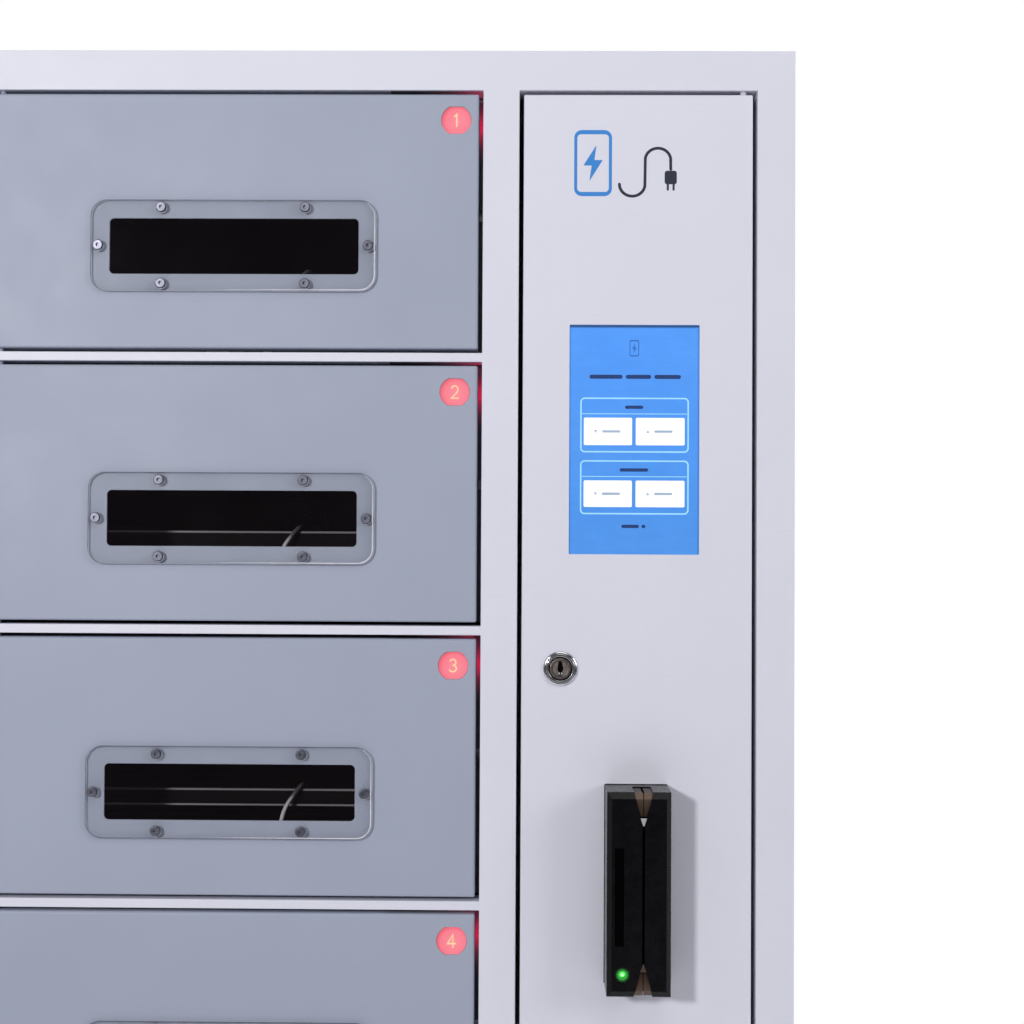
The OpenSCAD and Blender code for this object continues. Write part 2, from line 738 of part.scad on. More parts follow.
// Key lock: stepped ring, threaded barrel and its nut behind the sheet
module lock_body() {
  color("#b9bcc2") difference() {
    union() {
      bar_y(lock_x, -ring_out, lock_z, ring_r - 1, ring_out);
      bar_y(lock_x, -ring_out + 1, lock_z, ring_r, ring_out - 1);
      bar_y(lock_x, 0, lock_z, barrel_r, barrel_end);
      bar_y(lock_x, sheet, lock_z, 13.5, 4, $fn = 6);
    }
    bar_y(lock_x, -ring_out - cut, lock_z, plug_r + run_gap, barrel_end + ring_out + 2 * cut);
  }
}

// Key plug with its keyway, and the cam on its end, hanging down when unlocked
module lock_plug() {
  cam_start = barrel_end + 1;
  color("#3a3b40") {
    difference() {
      bar_y(lock_x, -ring_out + 0.8, lock_z, plug_r, cam_start + ring_out - 0.8);
      block([lock_x - 1.5, -ring_out - cut, lock_z - 5], [lock_x + 1.5, 8, lock_z + 5]);
    }
    bar_y(lock_x, cam_start, lock_z, cam_w / 2, cam_t);
    block([lock_x - cam_w / 2, cam_start, lock_z - cam_len + cam_w / 2], [lock_x + cam_w / 2, cam_start + cam_t, lock_z]);
    bar_y(lock_x, cam_start, lock_z - cam_len + cam_w / 2, cam_w / 2, cam_t);
    bar_y(lock_x, cam_start + cam_t, lock_z, 5.5, 3, $fn = 6);
  }
}

for (n = [1:door_count]) {
  door(n);
  window(n);
  number_light(n);
  fittings(n);
}
frame_stiles();
frame_rails();
side_panels();
top_panel();
base_panel();
rear_panel();
rear_screws();
partition();
compartment_floors();
phone_trays();
charger_wall();
charger_modules();
latch_locks();
foot_pads();
foot_studs();
power_inlet();
fan_frame();
fan_rotor();
power_supply();
charging_leads();
charging_plugs();
control_door();
screen_glass();
display_module();
card_reader();
reader_lamp();
lock_body();
lock_plug();
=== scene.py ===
import math

import bmesh
import bpy
from mathutils import Matrix, Vector


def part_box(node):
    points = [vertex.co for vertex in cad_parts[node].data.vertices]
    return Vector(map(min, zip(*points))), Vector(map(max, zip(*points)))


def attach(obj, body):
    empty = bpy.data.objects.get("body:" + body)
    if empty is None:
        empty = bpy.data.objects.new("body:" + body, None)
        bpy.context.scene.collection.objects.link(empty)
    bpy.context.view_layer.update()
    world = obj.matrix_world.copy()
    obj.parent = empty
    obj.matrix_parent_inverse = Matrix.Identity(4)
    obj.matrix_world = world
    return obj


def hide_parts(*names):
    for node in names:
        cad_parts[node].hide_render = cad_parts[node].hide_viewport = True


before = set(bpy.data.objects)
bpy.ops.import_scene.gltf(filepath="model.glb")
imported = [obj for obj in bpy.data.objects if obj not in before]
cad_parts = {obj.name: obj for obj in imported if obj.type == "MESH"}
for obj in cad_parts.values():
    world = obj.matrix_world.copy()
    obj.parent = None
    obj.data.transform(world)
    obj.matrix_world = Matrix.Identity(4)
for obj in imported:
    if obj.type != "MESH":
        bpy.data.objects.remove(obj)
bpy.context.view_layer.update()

MM = 0.001
DOORS = range(1, 9)


def box(node):
    """A CAD node's corners in millimetres."""
    low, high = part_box(node)
    return low * 1000, high * 1000


def middle(node):
    low, high = box(node)
    return (low + high) / 2


def linked(name, data):
    """A new object in the scene."""
    obj = bpy.data.objects.new(name, data)
    bpy.context.scene.collection.objects.link(obj)
    return obj


# ---- places, in millimetres
FRONT = box("frame_stiles")[0].y
LEFT, RIGHT = box("side_panels")[0].x, box("side_panels")[1].x
BOTTOM, TOP = box("side_panels")[0].z, box("side_panels")[1].z
BACK = box("side_panels")[1].y
SHEET = 1.5
FOLD, DOOR_FOLD = 20, 18
STILE, RAIL, THIN_RAIL = 25, 26.5, 6
SIDE_GAP, GAP = 3, 2.5
OPENING_H = 175
COLUMN_TOP, COLUMN_BOTTOM = TOP - RAIL, BOTTOM + RAIL
BAY_LEFT, BAY_RIGHT = LEFT + STILE, box("partition")[0].x
PANEL_LEFT, PANEL_RIGHT = box("control_door")[0].x, box("control_door")[1].x
CONTROL_LEFT, CONTROL_RIGHT = PANEL_LEFT - SIDE_GAP, PANEL_RIGHT + SIDE_GAP
PANEL_TOP, PANEL_BOTTOM = COLUMN_TOP - GAP, COLUMN_BOTTOM + GAP
PANEL_MID = (PANEL_LEFT + PANEL_RIGHT) / 2
DOOR_LEFT, DOOR_RIGHT = box("door_1")[0].x, box("door_1")[1].x
DOOR_MID = (DOOR_LEFT + DOOR_RIGHT) / 2
DOOR_H = 170
WINDOW_Z = 68
WINDOW = {n: middle(f"window_{n}").z for n in DOORS}
DOOR_Z = {n: WINDOW[n] - WINDOW_Z for n in DOORS}
FLOOR_Z = {n: DOOR_Z[n] - GAP for n in DOORS}
BADGE = (DOOR_RIGHT - 15, DOOR_H - 17.5)
LATCH_Z = DOOR_H - 78
LOCK = middle("lock_body")
READER, LAMP_MID = box("card_reader"), middle("reader_lamp")
SCREEN = box("screen_glass")
SCREEN_LAP = 6
SCREEN_X, SCREEN_W = SCREEN[0].x + SCREEN_LAP, SCREEN[1].x - SCREEN[0].x - 2 * SCREEN_LAP
SCREEN_TOP, SCREEN_H = SCREEN[1].z - SCREEN_LAP, SCREEN[1].z - SCREEN[0].z - 2 * SCREEN_LAP
SCREEN_MID = SCREEN_X + SCREEN_W / 2

# ---- camera
camera = linked("camera", bpy.data.cameras.new("camera"))
camera.data.sensor_width = 36
camera.data.lens = 56.25
turn = Matrix.Identity(4)
for degrees, axis in ((0.743, "Z"), (1.085, "X"), (-0.297, "Y"), (90, "X")):
    turn = turn @ Matrix.Rotation(math.radians(degrees), 4, axis)
camera_place = Vector((PANEL_MID - 68.9, FRONT - 1057.9, TOP - 326.9)) * MM
camera.matrix_world = Matrix.Translation(camera_place) @ turn
bpy.context.scene.camera = camera


# ---- materials
def rgb(red, green, blue):
    """Screen colour, 0 to 255, as the linear colour a shader takes."""
    def linear(c):
        return ((c / 255 + 0.055) / 1.055) ** 2.4 if c > 10 else c / 255 / 12.92
    return linear(red), linear(green), linear(blue), 1


def shade(colour, factor):
    """A linear colour made darker or lighter."""
    return tuple(min(1, c * factor) for c in colour[:3]) + (1,)


class Finish:
    """A Principled material, with short ways to add nodes."""

    def __init__(self, name, roughness, metal=0.0, ior=1.5):
        self.mat = bpy.data.materials.new(name)
        self.mat.use_nodes = True
        self.tree = self.mat.node_tree
        self.bsdf = self.tree.nodes["Principled BSDF"]
        self.put("Roughness", roughness)
        self.put("Metallic", metal)
        self.put("IOR", ior)
        where = self.node("TexCoord")
        each = self.node("ObjectInfo")
        shift = self.node("VectorMath", operation="SCALE")
        self.link(each.outputs["Random"], shift.inputs[0])
        shift.inputs["Scale"].default_value = 3
        spread = self.node("VectorMath", operation="ADD")
        self.link(where.outputs["Object"], spread.inputs[0])
        self.link(shift.outputs[0], spread.inputs[1])
        self.place, self.spot = where.outputs["Object"], spread.outputs[0]
        self.normal_out = where.outputs["Normal"]

    def node(self, kind, **settings):
        node = self.tree.nodes.new("ShaderNode" + kind)
        for key, value in settings.items():
            setattr(node, key, value)
        return node

    def link(self, a, b):
        self.tree.links.new(a, b)

    def put(self, socket, value):
        self.bsdf.inputs[socket].default_value = value

    def noise(self, size, detail, stretch=(1, 1, 1), rough=0.5):
        """Noise with features of about that size in millimetres."""
        mapping = self.node("Mapping")
        mapping.inputs["Scale"].default_value = stretch
        self.link(self.spot, mapping.inputs["Vector"])
        noise = self.node("TexNoise")
        noise.inputs["Scale"].default_value = 1 / (size * MM)
        noise.inputs["Detail"].default_value = detail
        noise.inputs["Roughness"].default_value = rough
        self.link(mapping.outputs[0], noise.inputs["Vector"])
        return noise.outputs["Fac"]

    def ramp(self, value, stops):
        """Colours at their stops along a value."""
        ramp = self.node("ValToRGB")
        marks = ramp.color_ramp.elements
        while len(marks) < len(stops):
            marks.new(0.5)
        for mark, (at, colour) in zip(marks, stops):
            mark.position = at
            mark.color = colour
        self.link(value, ramp.inputs[0])
        return ramp.outputs["Color"]

    def tones(self, value, low, high):
        """Colour from low to high over the middle of a noise's range."""
        return self.ramp(value, [(0.3, low), (0.7, high)])

    def spread(self, value, low, high, start=0.3, end=0.7):
        """A number from low to high as value goes from start to end."""
        span = self.node("MapRange")
        for socket, number in zip(("From Min", "From Max", "To Min", "To Max"), (start, end, low, high)):
            span.inputs[socket].default_value = number
        self.link(value, span.inputs["Value"])
        return span.outputs[0]

    def mix(self, a, b, factor):
        mix = self.node("Mix", data_type="RGBA")
        for socket, value in ((6, a), (7, b), (0, factor)):
            if hasattr(value, "links"):
                self.link(value, mix.inputs[socket])
            else:
                mix.inputs[socket].default_value = value
        return mix.outputs[2]

    def math(self, operation, *values):
        node = self.node("Math", operation=operation)
        for socket, value in zip(node.inputs, values):
            if hasattr(value, "links"):
                self.link(value, socket)
            else:
                socket.default_value = value
        return node.outputs[0]

    def dot(self, vector, direction):
        node = self.node("VectorMath", operation="DOT_PRODUCT")
        self.link(vector, node.inputs[0])
        node.inputs[1].default_value = direction
        return node.outputs["Value"]

    def axis(self, index):
        """One coordinate of the surface in metres, from the object's own origin."""
        split = self.node("SeparateXYZ")
        self.link(self.place, split.inputs[0])
        return split.outputs[index]

    def feed(self, value, socket):
        self.link(value, self.bsdf.inputs[socket])

    def bump(self, value, height, strength=1.0):
        """Surface relief of that height in millimetres."""
        bump = self.node("Bump")
        bump.inputs["Distance"].default_value = height * MM
        bump.inputs["Strength"].default_value = strength
        self.link(value, bump.inputs["Height"])
        self.feed(bump.outputs[0], "Normal")


def powder_coat(name, colour, roughness, mottle=0.03, peel=0.05, peel_size=1.3, dust=0.0, ior=1.5):
    """Sprayed paint: cloudy colour, fine orange peel and a slightly uneven gloss."""
    f = Finish(name, roughness, ior=ior)
    cloud = f.noise(90, 2)
    speck = f.noise(0.9, 2)
    base = f.tones(cloud, shade(colour, 1 - mottle), shade(colour, 1 + mottle))
    base = f.mix(base, shade(colour, 0.93), f.spread(speck, 0, 0.35, 0.56, 0.75))
    scuff = f.noise(22, 4, (1, 1, 7), 0.65)
    base = f.mix(base, shade(colour, 0.86), f.spread(scuff, 0, 0.3, 0.63, 0.8))
    if dust:
        base = f.mix(base, rgb(150, 140, 132), f.spread(f.noise(1.7, 5, rough=0.75), 0, dust, 0.62, 0.78))
    f.feed(base, "Base Color")
    f.feed(f.spread(f.noise(28, 3), roughness - 0.03, roughness + 0.05), "Roughness")
    f.bump(f.noise(peel_size, 1), peel, 0.35)
    return f.mat


def metal(name, colour, roughness, size, stain=0.25):
    """Bare or plated metal: fine grain and darker stains."""
    f = Finish(name, roughness, metal=1.0)
    stains = f.noise(9, 4, rough=0.6)
    f.feed(f.ramp(stains, [(0.35, shade(colour, 1 - stain)), (0.65, colour)]), "Base Color")
    grain = f.noise(size, 3)
    f.feed(f.spread(grain, roughness - 0.06, roughness + 0.1), "Roughness")
    f.bump(grain, 0.02, 0.5)
    return f.mat


def moulded(name, colour, roughness, texture, size=0.5, ior=1.5):
    """Injection-moulded plastic: fine spark texture, faint flow marks and handling marks."""
    f = Finish(name, roughness, ior=ior)
    flow = f.noise(26, 3, (1, 1, 0.35))
    f.feed(f.tones(flow, shade(colour, 0.88), shade(colour, 1.08)), "Base Color")
    f.feed(f.spread(f.noise(7, 4, rough=0.65), roughness - 0.04, roughness + 0.08), "Roughness")
    f.bump(f.noise(size, 2), texture, 0.4)
    return f.mat


def acrylic():
    """Clear plate: nearly invisible in its faces, with a painted highlight along its lower and right
    polished edges and a faint painted glow over its faces.
    """
    f = Finish("clear_plate", 0.12, ior=1.33)
    side = f.math("SUBTRACT", 1.0, f.math("ABSOLUTE", f.dot(f.normal_out, (0, 1, 0))))
    # painted highlight and shade: the bevel is bright where its normal faces right and down, dark where it
    # faces up and left
    lit = f.dot(f.normal_out, (0.92, 0, -0.38))
    bevel = f.ramp(f.spread(lit, 0, 1, -1, 1), [
        (0.2, rgb(96, 100, 118)), (0.5, rgb(118, 123, 142)), (0.66, rgb(206, 210, 224)),
        (0.85, rgb(240, 242, 250)),
    ])
    edge = f.mix(bevel, rgb(98, 103, 122), f.spread(side, 0, 1, 0.82, 0.97))
    scratch = f.noise(5, 5, (1, 1, 14), 0.7)
    face = f.mix(rgb(20, 22, 28), rgb(60, 62, 70), f.spread(scratch, 0, 0.5, 0.6, 0.75))
    solid = f.spread(side, 0, 1, 0.08, 0.35)
    f.feed(f.mix(face, edge, solid), "Base Color")
    haze = f.spread(f.noise(40, 3), 0.045, 0.065)
    f.feed(f.math("MAXIMUM", haze, f.math("MULTIPLY", solid, 0.85)), "Alpha")
    f.feed(f.spread(scratch, 0.08, 0.3, 0.5, 0.8), "Roughness")
    # painted light: a faint warm glow over the plate for its haze
    f.feed(f.tones(f.noise(60, 2), rgb(50, 42, 46), rgb(58, 49, 54)), "Emission Color")
    f.put("Emission Strength", 1.0)
    return f.mat


def edge_light():
    """Painted highlight for the light that leaves the clear plate along its right and lower edges, fading to
    both ends.
    """
    f = Finish("plate_edge_light", 0.2, ior=1.4)
    along = f.spread(f.axis(0), 0, 0.8, (DOOR_MID - 20) * MM, (DOOR_MID + 90) * MM)
    up = f.spread(f.axis(2), 1, 0.2, -4 * MM, 30 * MM)
    grain = f.spread(f.noise(9, 3), 0.6, 1.05)
    f.feed(f.math("MULTIPLY", f.math("MULTIPLY", along, up), grain), "Alpha")
    f.feed(f.tones(f.noise(6, 2), rgb(226, 229, 240), rgb(248, 250, 255)), "Base Color")
    return f.mat


def hole_rim():
    """Chamfered rim of a screw hole in the clear plate, with a painted highlight where it faces up and left.
    """
    f = Finish("plate_hole_rim", 0.25, ior=1.4)
    # painted highlight and shade: the rim's colour follows which way its normal faces
    lit = f.spread(f.dot(f.normal_out, (0.66, 0, -0.75)), 0, 1, -0.75, 0.75)
    f.feed(f.ramp(lit, [
        (0.3, rgb(70, 73, 88)), (0.62, rgb(120, 124, 140)), (0.82, rgb(240, 242, 250)),
    ]), "Base Color")
    f.feed(f.spread(f.noise(1.5, 3), 0.2, 0.35), "Roughness")
    return f.mat


def radial(f, inner, outer, centre=(0, 0)):
    """0 within inner mm of the object's origin, 1 beyond outer mm, across X and Z."""
    x = f.math("SUBTRACT", f.axis(0), centre[0] * MM)
    z = f.math("SUBTRACT", f.axis(2), centre[1] * MM)
    reach = f.math("SQRT", f.math("ADD", f.math("MULTIPLY", x, x), f.math("MULTIPLY", z, z)))
    return f.spread(reach, 0, 1, inner * MM, outer * MM)


def badge_lens():
    """Lit red number lens, palest a little right of and below its middle, darker at its upper left rim as a
    painted shadow of the door's cut edge.
    """
    f = Finish("number_light", 0.3)
    # painted shade: the glow's centre sits right of and below the middle, so the upper left rim falls dark
    far = radial(f, 0.5, 11.2, (1.1, -1.1))
    glow = f.ramp(far, [
        (0.0, rgb(251, 152, 166)), (0.7, rgb(250, 136, 152)), (0.9, rgb(240, 112, 130)),
        (1.0, rgb(206, 96, 114)),
    ])
    grain = f.noise(1.1, 3)
    glow = f.mix(glow, rgb(238, 112, 126), f.spread(grain, 0, 0.22, 0.5, 0.72))
    f.feed(glow, "Emission Color")
    f.put("Emission Strength", 0.86)
    f.feed(f.mix(rgb(120, 20, 28), rgb(90, 14, 20), f.spread(grain, 0, 1)), "Base Color")
    f.bump(grain, 0.02)
    return f.mat


def lit_ink(name, colour, strength, variation=0.04):
    """Backlit print: glows with its own colour and a faint unevenness."""
    f = Finish(name, 0.4)
    patch = f.noise(14, 2)
    f.feed(f.tones(patch, shade(colour, 1 - variation), shade(colour, 1 + variation)), "Emission Color")
    f.put("Emission Strength", strength)
    f.feed(f.tones(patch, shade(colour, 0.05), shade(colour, 0.08)), "Base Color")
    return f.mat


def screen_glow():
    """Lit display: blue that deepens downwards, with the pixel rows just felt."""
    f = Finish("display", 0.25)
    height = f.spread(f.axis(2), 0, 1, (SCREEN_TOP - SCREEN_H) * MM, SCREEN_TOP * MM)
    blue = f.ramp(height, [(0.0, rgb(79, 149, 234)), (0.5, rgb(83, 155, 247)), (1.0, rgb(86, 159, 255))])
    rows = f.node("TexWave", wave_type="BANDS", bands_direction="Z")
    rows.inputs["Scale"].default_value = 900
    f.link(f.place, rows.inputs["Vector"])
    blue = f.mix(blue, rgb(104, 170, 255), f.spread(f.noise(45, 2), 0, 0.18))
    blue = f.mix(blue, rgb(78, 142, 230), f.math("MULTIPLY", rows.outputs["Fac"], 0.08))
    # the door's edge shades the display along its top and, faintly, its sides
    top_shade = f.spread(f.axis(2), 0, 0.85, (SCREEN_TOP - 2.1) * MM, (SCREEN_TOP - 0.9) * MM)
    from_mid = f.math("ABSOLUTE", f.math("SUBTRACT", f.axis(0), SCREEN_MID * MM))
    side_shade = f.spread(from_mid, 0, 0.4, (SCREEN_W / 2 - 1.3) * MM, (SCREEN_W / 2 - 0.3) * MM)
    f.feed(f.mix(blue, rgb(36, 60, 104), f.math("MAXIMUM", top_shade, side_shade)), "Emission Color")
    f.put("Emission Strength", 1.06)
    f.feed(f.mix(rgb(8, 10, 16), rgb(14, 16, 22), f.noise(5, 2)), "Base Color")
    return f.mat


def seal_glow(name, along, reach, peak, hot, warm):
    """Dark rubber seal with the number light's red light painted on as a glow, fading with distance along
    one axis.
    """
    f = Finish(name, 0.6)
    fade = f.spread(f.math("ABSOLUTE", f.axis(along)), 1, 0, 2 * MM, reach * MM)
    fade = f.math("MULTIPLY", fade, f.math("POWER", fade, 0.6))
    grain = f.spread(f.noise(2.4, 3), 0.8, 1.1)
    f.feed(f.ramp(fade, [(0.0, rgb(46, 34, 42)), (0.45, warm), (1.0, hot)]), "Emission Color")
    f.feed(f.math("MULTIPLY", fade, f.math("MULTIPLY", grain, peak)), "Emission Strength")
    f.feed(f.tones(f.noise(6, 3), rgb(78, 76, 84), rgb(92, 90, 98)), "Base Color")
    f.bump(f.noise(0.8, 2), 0.03, 0.5)
    return f.mat


def halo():
    """Green light thrown on the face round the lamp, fading outwards."""
    f = Finish("lamp_halo", 0.3)
    far = radial(f, 1.8, 5.2)
    near = f.math("SUBTRACT", 1.0, far)
    f.feed(f.math("MULTIPLY", f.math("MULTIPLY", near, near), 0.75), "Alpha")
    f.feed(f.ramp(near, [(0.0, rgb(30, 120, 40)), (1.0, rgb(90, 240, 100))]), "Emission Color")
    f.put("Emission Strength", 0.8)
    f.feed(f.tones(f.noise(1, 2), rgb(16, 20, 16), rgb(22, 28, 22)), "Base Color")
    return f.mat


def lamp():
    """Lit green lamp, palest in its middle."""
    f = Finish("green_lamp", 0.2)
    f.feed(f.ramp(radial(f, 0.2, 2.0, (LAMP_MID.x, LAMP_MID.z)), [
        (0.0, rgb(190, 255, 180)), (0.6, rgb(80, 245, 90)), (1.0, rgb(30, 190, 50))
    ]), "Emission Color")
    f.put("Emission Strength", 1.6)
    f.feed(f.mix(rgb(20, 90, 30), rgb(30, 110, 40), f.noise(0.6, 2)), "Base Color")
    return f.mat


def clear_glass():
    """Cover glass of the screen, seen only by its smears and its gloss."""
    f = Finish("screen_glass", 0.05)
    smear = f.noise(18, 4, (1, 1, 2.5), 0.6)
    f.feed(f.mix(rgb(30, 34, 44), rgb(60, 64, 76), f.spread(smear, 0, 1, 0.5, 0.8)), "Base Color")
    f.feed(f.spread(smear, 0.03, 0.07, 0.4, 0.8), "Alpha")
    f.feed(f.spread(smear, 0.03, 0.2, 0.4, 0.8), "Roughness")
    return f.mat


def throat_metal():
    """Brownish metal of the card throats, darker towards the slot as painted shade."""
    f = Finish("throat_metal", 0.38, metal=0.7)
    # painted shade: darker where the throat runs in towards the slot
    depth = f.spread(f.math("ABSOLUTE", f.axis(2)), 0, 1, 47 * MM, 62 * MM)
    base = f.ramp(depth, [(0.0, rgb(50, 38, 29)), (0.5, rgb(78, 61, 49)), (1.0, rgb(110, 92, 80))])
    grain = f.noise(1.2, 3, (1, 1, 9))
    f.feed(f.mix(base, rgb(70, 54, 46), f.spread(grain, 0, 0.5, 0.5, 0.75)), "Base Color")
    f.feed(f.spread(grain, 0.3, 0.5), "Roughness")
    return f.mat


def lead_jacket():
    """White lead, plain white in front of the tray, with painted shade where it lies back in the
    compartment.
    """
    f = Finish("lead_jacket", 0.45)
    # painted shade: the lead turns grey behind the tray's lip, where the light through the window doesn't
    # reach it
    back = f.spread(f.axis(1), 0, 1, (FRONT + 59.2) * MM, (FRONT + 60.9) * MM)
    flow = f.noise(14, 3)
    plain_white = f.tones(flow, rgb(218, 217, 222), rgb(236, 235, 240))
    painted_shade = f.tones(flow, rgb(92, 88, 90), rgb(108, 104, 106))
    f.feed(f.mix(plain_white, painted_shade, back), "Base Color")
    f.bump(f.noise(0.6, 2), 0.02, 0.4)
    return f.mat


WHITE = powder_coat("white_paint", (0.735, 0.735, 0.83, 1), 0.5, 0.012, peel=0.04)
GREY_BLUE = powder_coat("door_paint", (0.355, 0.39, 0.49, 1), 0.52, 0.02, peel=0.05)
INNER = powder_coat("inner_steel", rgb(196, 197, 210), 0.5, 0.03)
BLACK = powder_coat("black_paint", rgb(12, 10, 11), 0.7, 0.1, dust=0.03, ior=1.15)
EDGE_GREY = powder_coat("tray_edge_wear_and_highlight", rgb(150, 143, 152), 0.4, 0.12, dust=0.1)
DARK_STEEL = metal("dark_steel", rgb(122, 122, 136), 0.36, 0.8, 0.35)
ZINC = metal("zinc_steel", rgb(196, 198, 204), 0.34, 2.5)
CHROME = metal("chrome", rgb(226, 226, 232), 0.16, 3.0, 0.12)
PLUG_STEEL = metal("lock_steel", rgb(168, 158, 152), 0.38, 0.8)
BRONZE = metal("lock_face_ring", rgb(152, 140, 134), 0.32, 0.7, 0.3)
PLASTIC = moulded("black_plastic", rgb(30, 31, 34), 0.5, 0.05, 0.6)
GLOSS = moulded("reader_plastic", rgb(9, 9, 12), 0.24, 0.006, 2.0, ior=1.32)
SMOKE = moulded("reader_lens", rgb(4, 3, 4), 0.14, 0.003, 3, ior=1.15)
RUBBER = moulded("rubber", rgb(34, 34, 36), 0.75, 0.08, 0.9)
LEAD_WHITE = moulded("white_plastic", rgb(216, 215, 220), 0.45, 0.02, 0.5)
KEYHOLE = moulded("keyhole_black", rgb(4, 4, 5), 0.6, 0.02, ior=1.1)
BLUE_INK = powder_coat("blue_print", rgb(54, 138, 216), 0.4, 0.05)
DARK_INK = powder_coat("dark_print", rgb(38, 42, 58), 0.4, 0.08)
PALE_GREY = moulded("pale_mark", rgb(176, 174, 176), 0.4, 0.01)
CLEAR, EDGE_LIGHT, RIM, JACKET = acrylic(), edge_light(), hole_rim(), lead_jacket()
LENS, HALO, LAMP = badge_lens(), halo(), lamp()
SEAL_RED_GLOW = seal_glow("seal_right", 2, 30, 1.0, rgb(196, 22, 66), rgb(118, 30, 56))
TOP_RED_GLOW = seal_glow("seal_top", 0, 58, 0.5, rgb(190, 60, 96), rgb(110, 50, 74))
DIGIT = lit_ink("digit_light", rgb(255, 206, 158), 1.0)
SCREEN_BLUE, GLASS = screen_glow(), clear_glass()
UI_WHITE = lit_ink("screen_white", rgb(246, 249, 255), 1.15, 0.01)
UI_LINE = lit_ink("screen_line", rgb(164, 226, 255), 1.05)
UI_DARK = lit_ink("screen_dark", rgb(34, 62, 118), 0.95, 0.1)
UI_PALE = lit_ink("screen_pale", rgb(166, 186, 208), 1.0)
UI_ICON = lit_ink("screen_icon", rgb(56, 112, 196), 0.95)
THROAT = throat_metal()
THROAT_DARK = moulded("throat_dark", rgb(64, 46, 40), 0.5, 0.02)


# ---- mesh helpers
def mesh_of(bm, name):
    bmesh.ops.recalc_face_normals(bm, faces=bm.faces)
    mesh = bpy.data.meshes.new(name)
    bm.to_mesh(mesh)
    bm.free()
    return mesh


def piece(name, data, body, *materials, origin=(0, 0, 0)):
    """A new piece from a mesh, a bmesh or a curve, at a place in millimetres, riding on a body."""
    if isinstance(data, bmesh.types.BMesh):
        data = mesh_of(data, name)
    obj = linked(name, data)
    obj.location = Vector(origin) * MM
    if not data.materials:
        for material in materials:
            data.materials.append(material)
    bpy.context.view_layer.update()
    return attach(obj, body)


def soften(obj, width=0.0, segments=2, angle=32, weighted=False):
    """Rounded edges and smooth shading; a width is in millimetres."""
    obj.data.polygons.foreach_set("use_smooth", [True] * len(obj.data.polygons))
    if width:
        bevel = obj.modifiers.new("edges", "BEVEL")
        bevel.width = width * MM
        bevel.segments = segments
        bevel.limit_method = "WEIGHT" if weighted else "ANGLE"
        bevel.angle_limit = math.radians(angle)
        bevel.use_clamp_overlap = weighted is False
    normals = obj.modifiers.new("normals", "WEIGHTED_NORMAL")
    normals.keep_sharp = True
    return obj


def carried(node, material, width=0.3, segments=2):
    """A CAD node that stays: merged facets, eased edges and its real finish."""
    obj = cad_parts[node]
    obj.data.materials.clear()
    obj.data.materials.append(material)
    weld = obj.modifiers.new("weld", "WELD")
    weld.merge_threshold = 0.00002
    planes = obj.modifiers.new("planes", "DECIMATE")
    planes.decimate_type = "DISSOLVE"
    planes.angle_limit = math.radians(0.6)
    return soften(obj, width, segments)


def rounded(mid_x, mid_z, w, h, r, steps=6):
    """Outline of a rectangle with round corners, anticlockwise seen from the front."""
    points = []
    for sx, sz, start in ((1, 1, 0), (-1, 1, 90), (-1, -1, 180), (1, -1, 270)):
        points += arc(mid_x + sx * (w / 2 - r), mid_z + sz * (h / 2 - r), r, r, start, start + 90, steps)
    return points


def shifted(mid_x, mid_z, points):
    return [(mid_x + x, mid_z + z) for x, z in points]


def wheel(sides):
    """Cosine and sine of equal steps round a full turn."""
    return [(math.cos(math.tau * k / sides), math.sin(math.tau * k / sides)) for k in range(sides)]


def circle(mid_x, mid_z, r, sides):
    return [(mid_x + r * c, mid_z + r * s) for c, s in wheel(sides)]


def arc(mid_x, mid_z, rx, rz, start, end, steps):
    angles = (math.radians(start + (end - start) * k / steps) for k in range(steps + 1))
    return [(mid_x + rx * math.cos(a), mid_z + rz * math.sin(a)) for a in angles]


def flat_disc(mid_x, mid_z, r, h, steps=10):
    """Outline of a disc cut flat at its top and bottom."""
    cut = math.asin(h / 2 / r)
    angles = [cut * (2 * k / steps - 1) for k in range(steps + 1)]
    side = [(r * math.cos(a), r * math.sin(a)) for a in angles]
    return shifted(mid_x, mid_z, side + [(-x, -z) for x, z in side])


def vertex(bm, x, y, z):
    """A vertex from millimetres across, behind the front face and up."""
    return bm.verts.new((x * MM, (FRONT + y) * MM, z * MM))


def bridge(bm, rows, material=0):
    """Quads from each closed row of vertices to the next."""
    for row, after in zip(rows, rows[1:]):
        for k, vert in enumerate(row):
            j = (k + 1) % len(row)
            bm.faces.new((vert, row[j], after[j], after[k])).material_index = material


def prism(bm, outline, y0, y1, material=0):
    """Solid between two depths behind the front face, on an outline in X and Z."""
    near, far = ([vertex(bm, x, y, z) for x, z in outline] for y in (y0, y1))
    faces = [bm.faces.new(near), bm.faces.new(far[::-1])]
    for k in range(len(outline)):
        j = (k + 1) % len(outline)
        faces.append(bm.faces.new((near[k], far[k], far[j], near[j])))
    for face in faces:
        face.material_index = material


def ring(bm, outer, inner, y0, y1, material=0):
    """Solid frame between two outlines with the same number of points."""
    rows = [[vertex(bm, x, y, z) for x, z in line]
            for line, y in ((outer, y0), (outer, y1), (inner, y1), (inner, y0))]
    bridge(bm, rows + rows[:1], material)


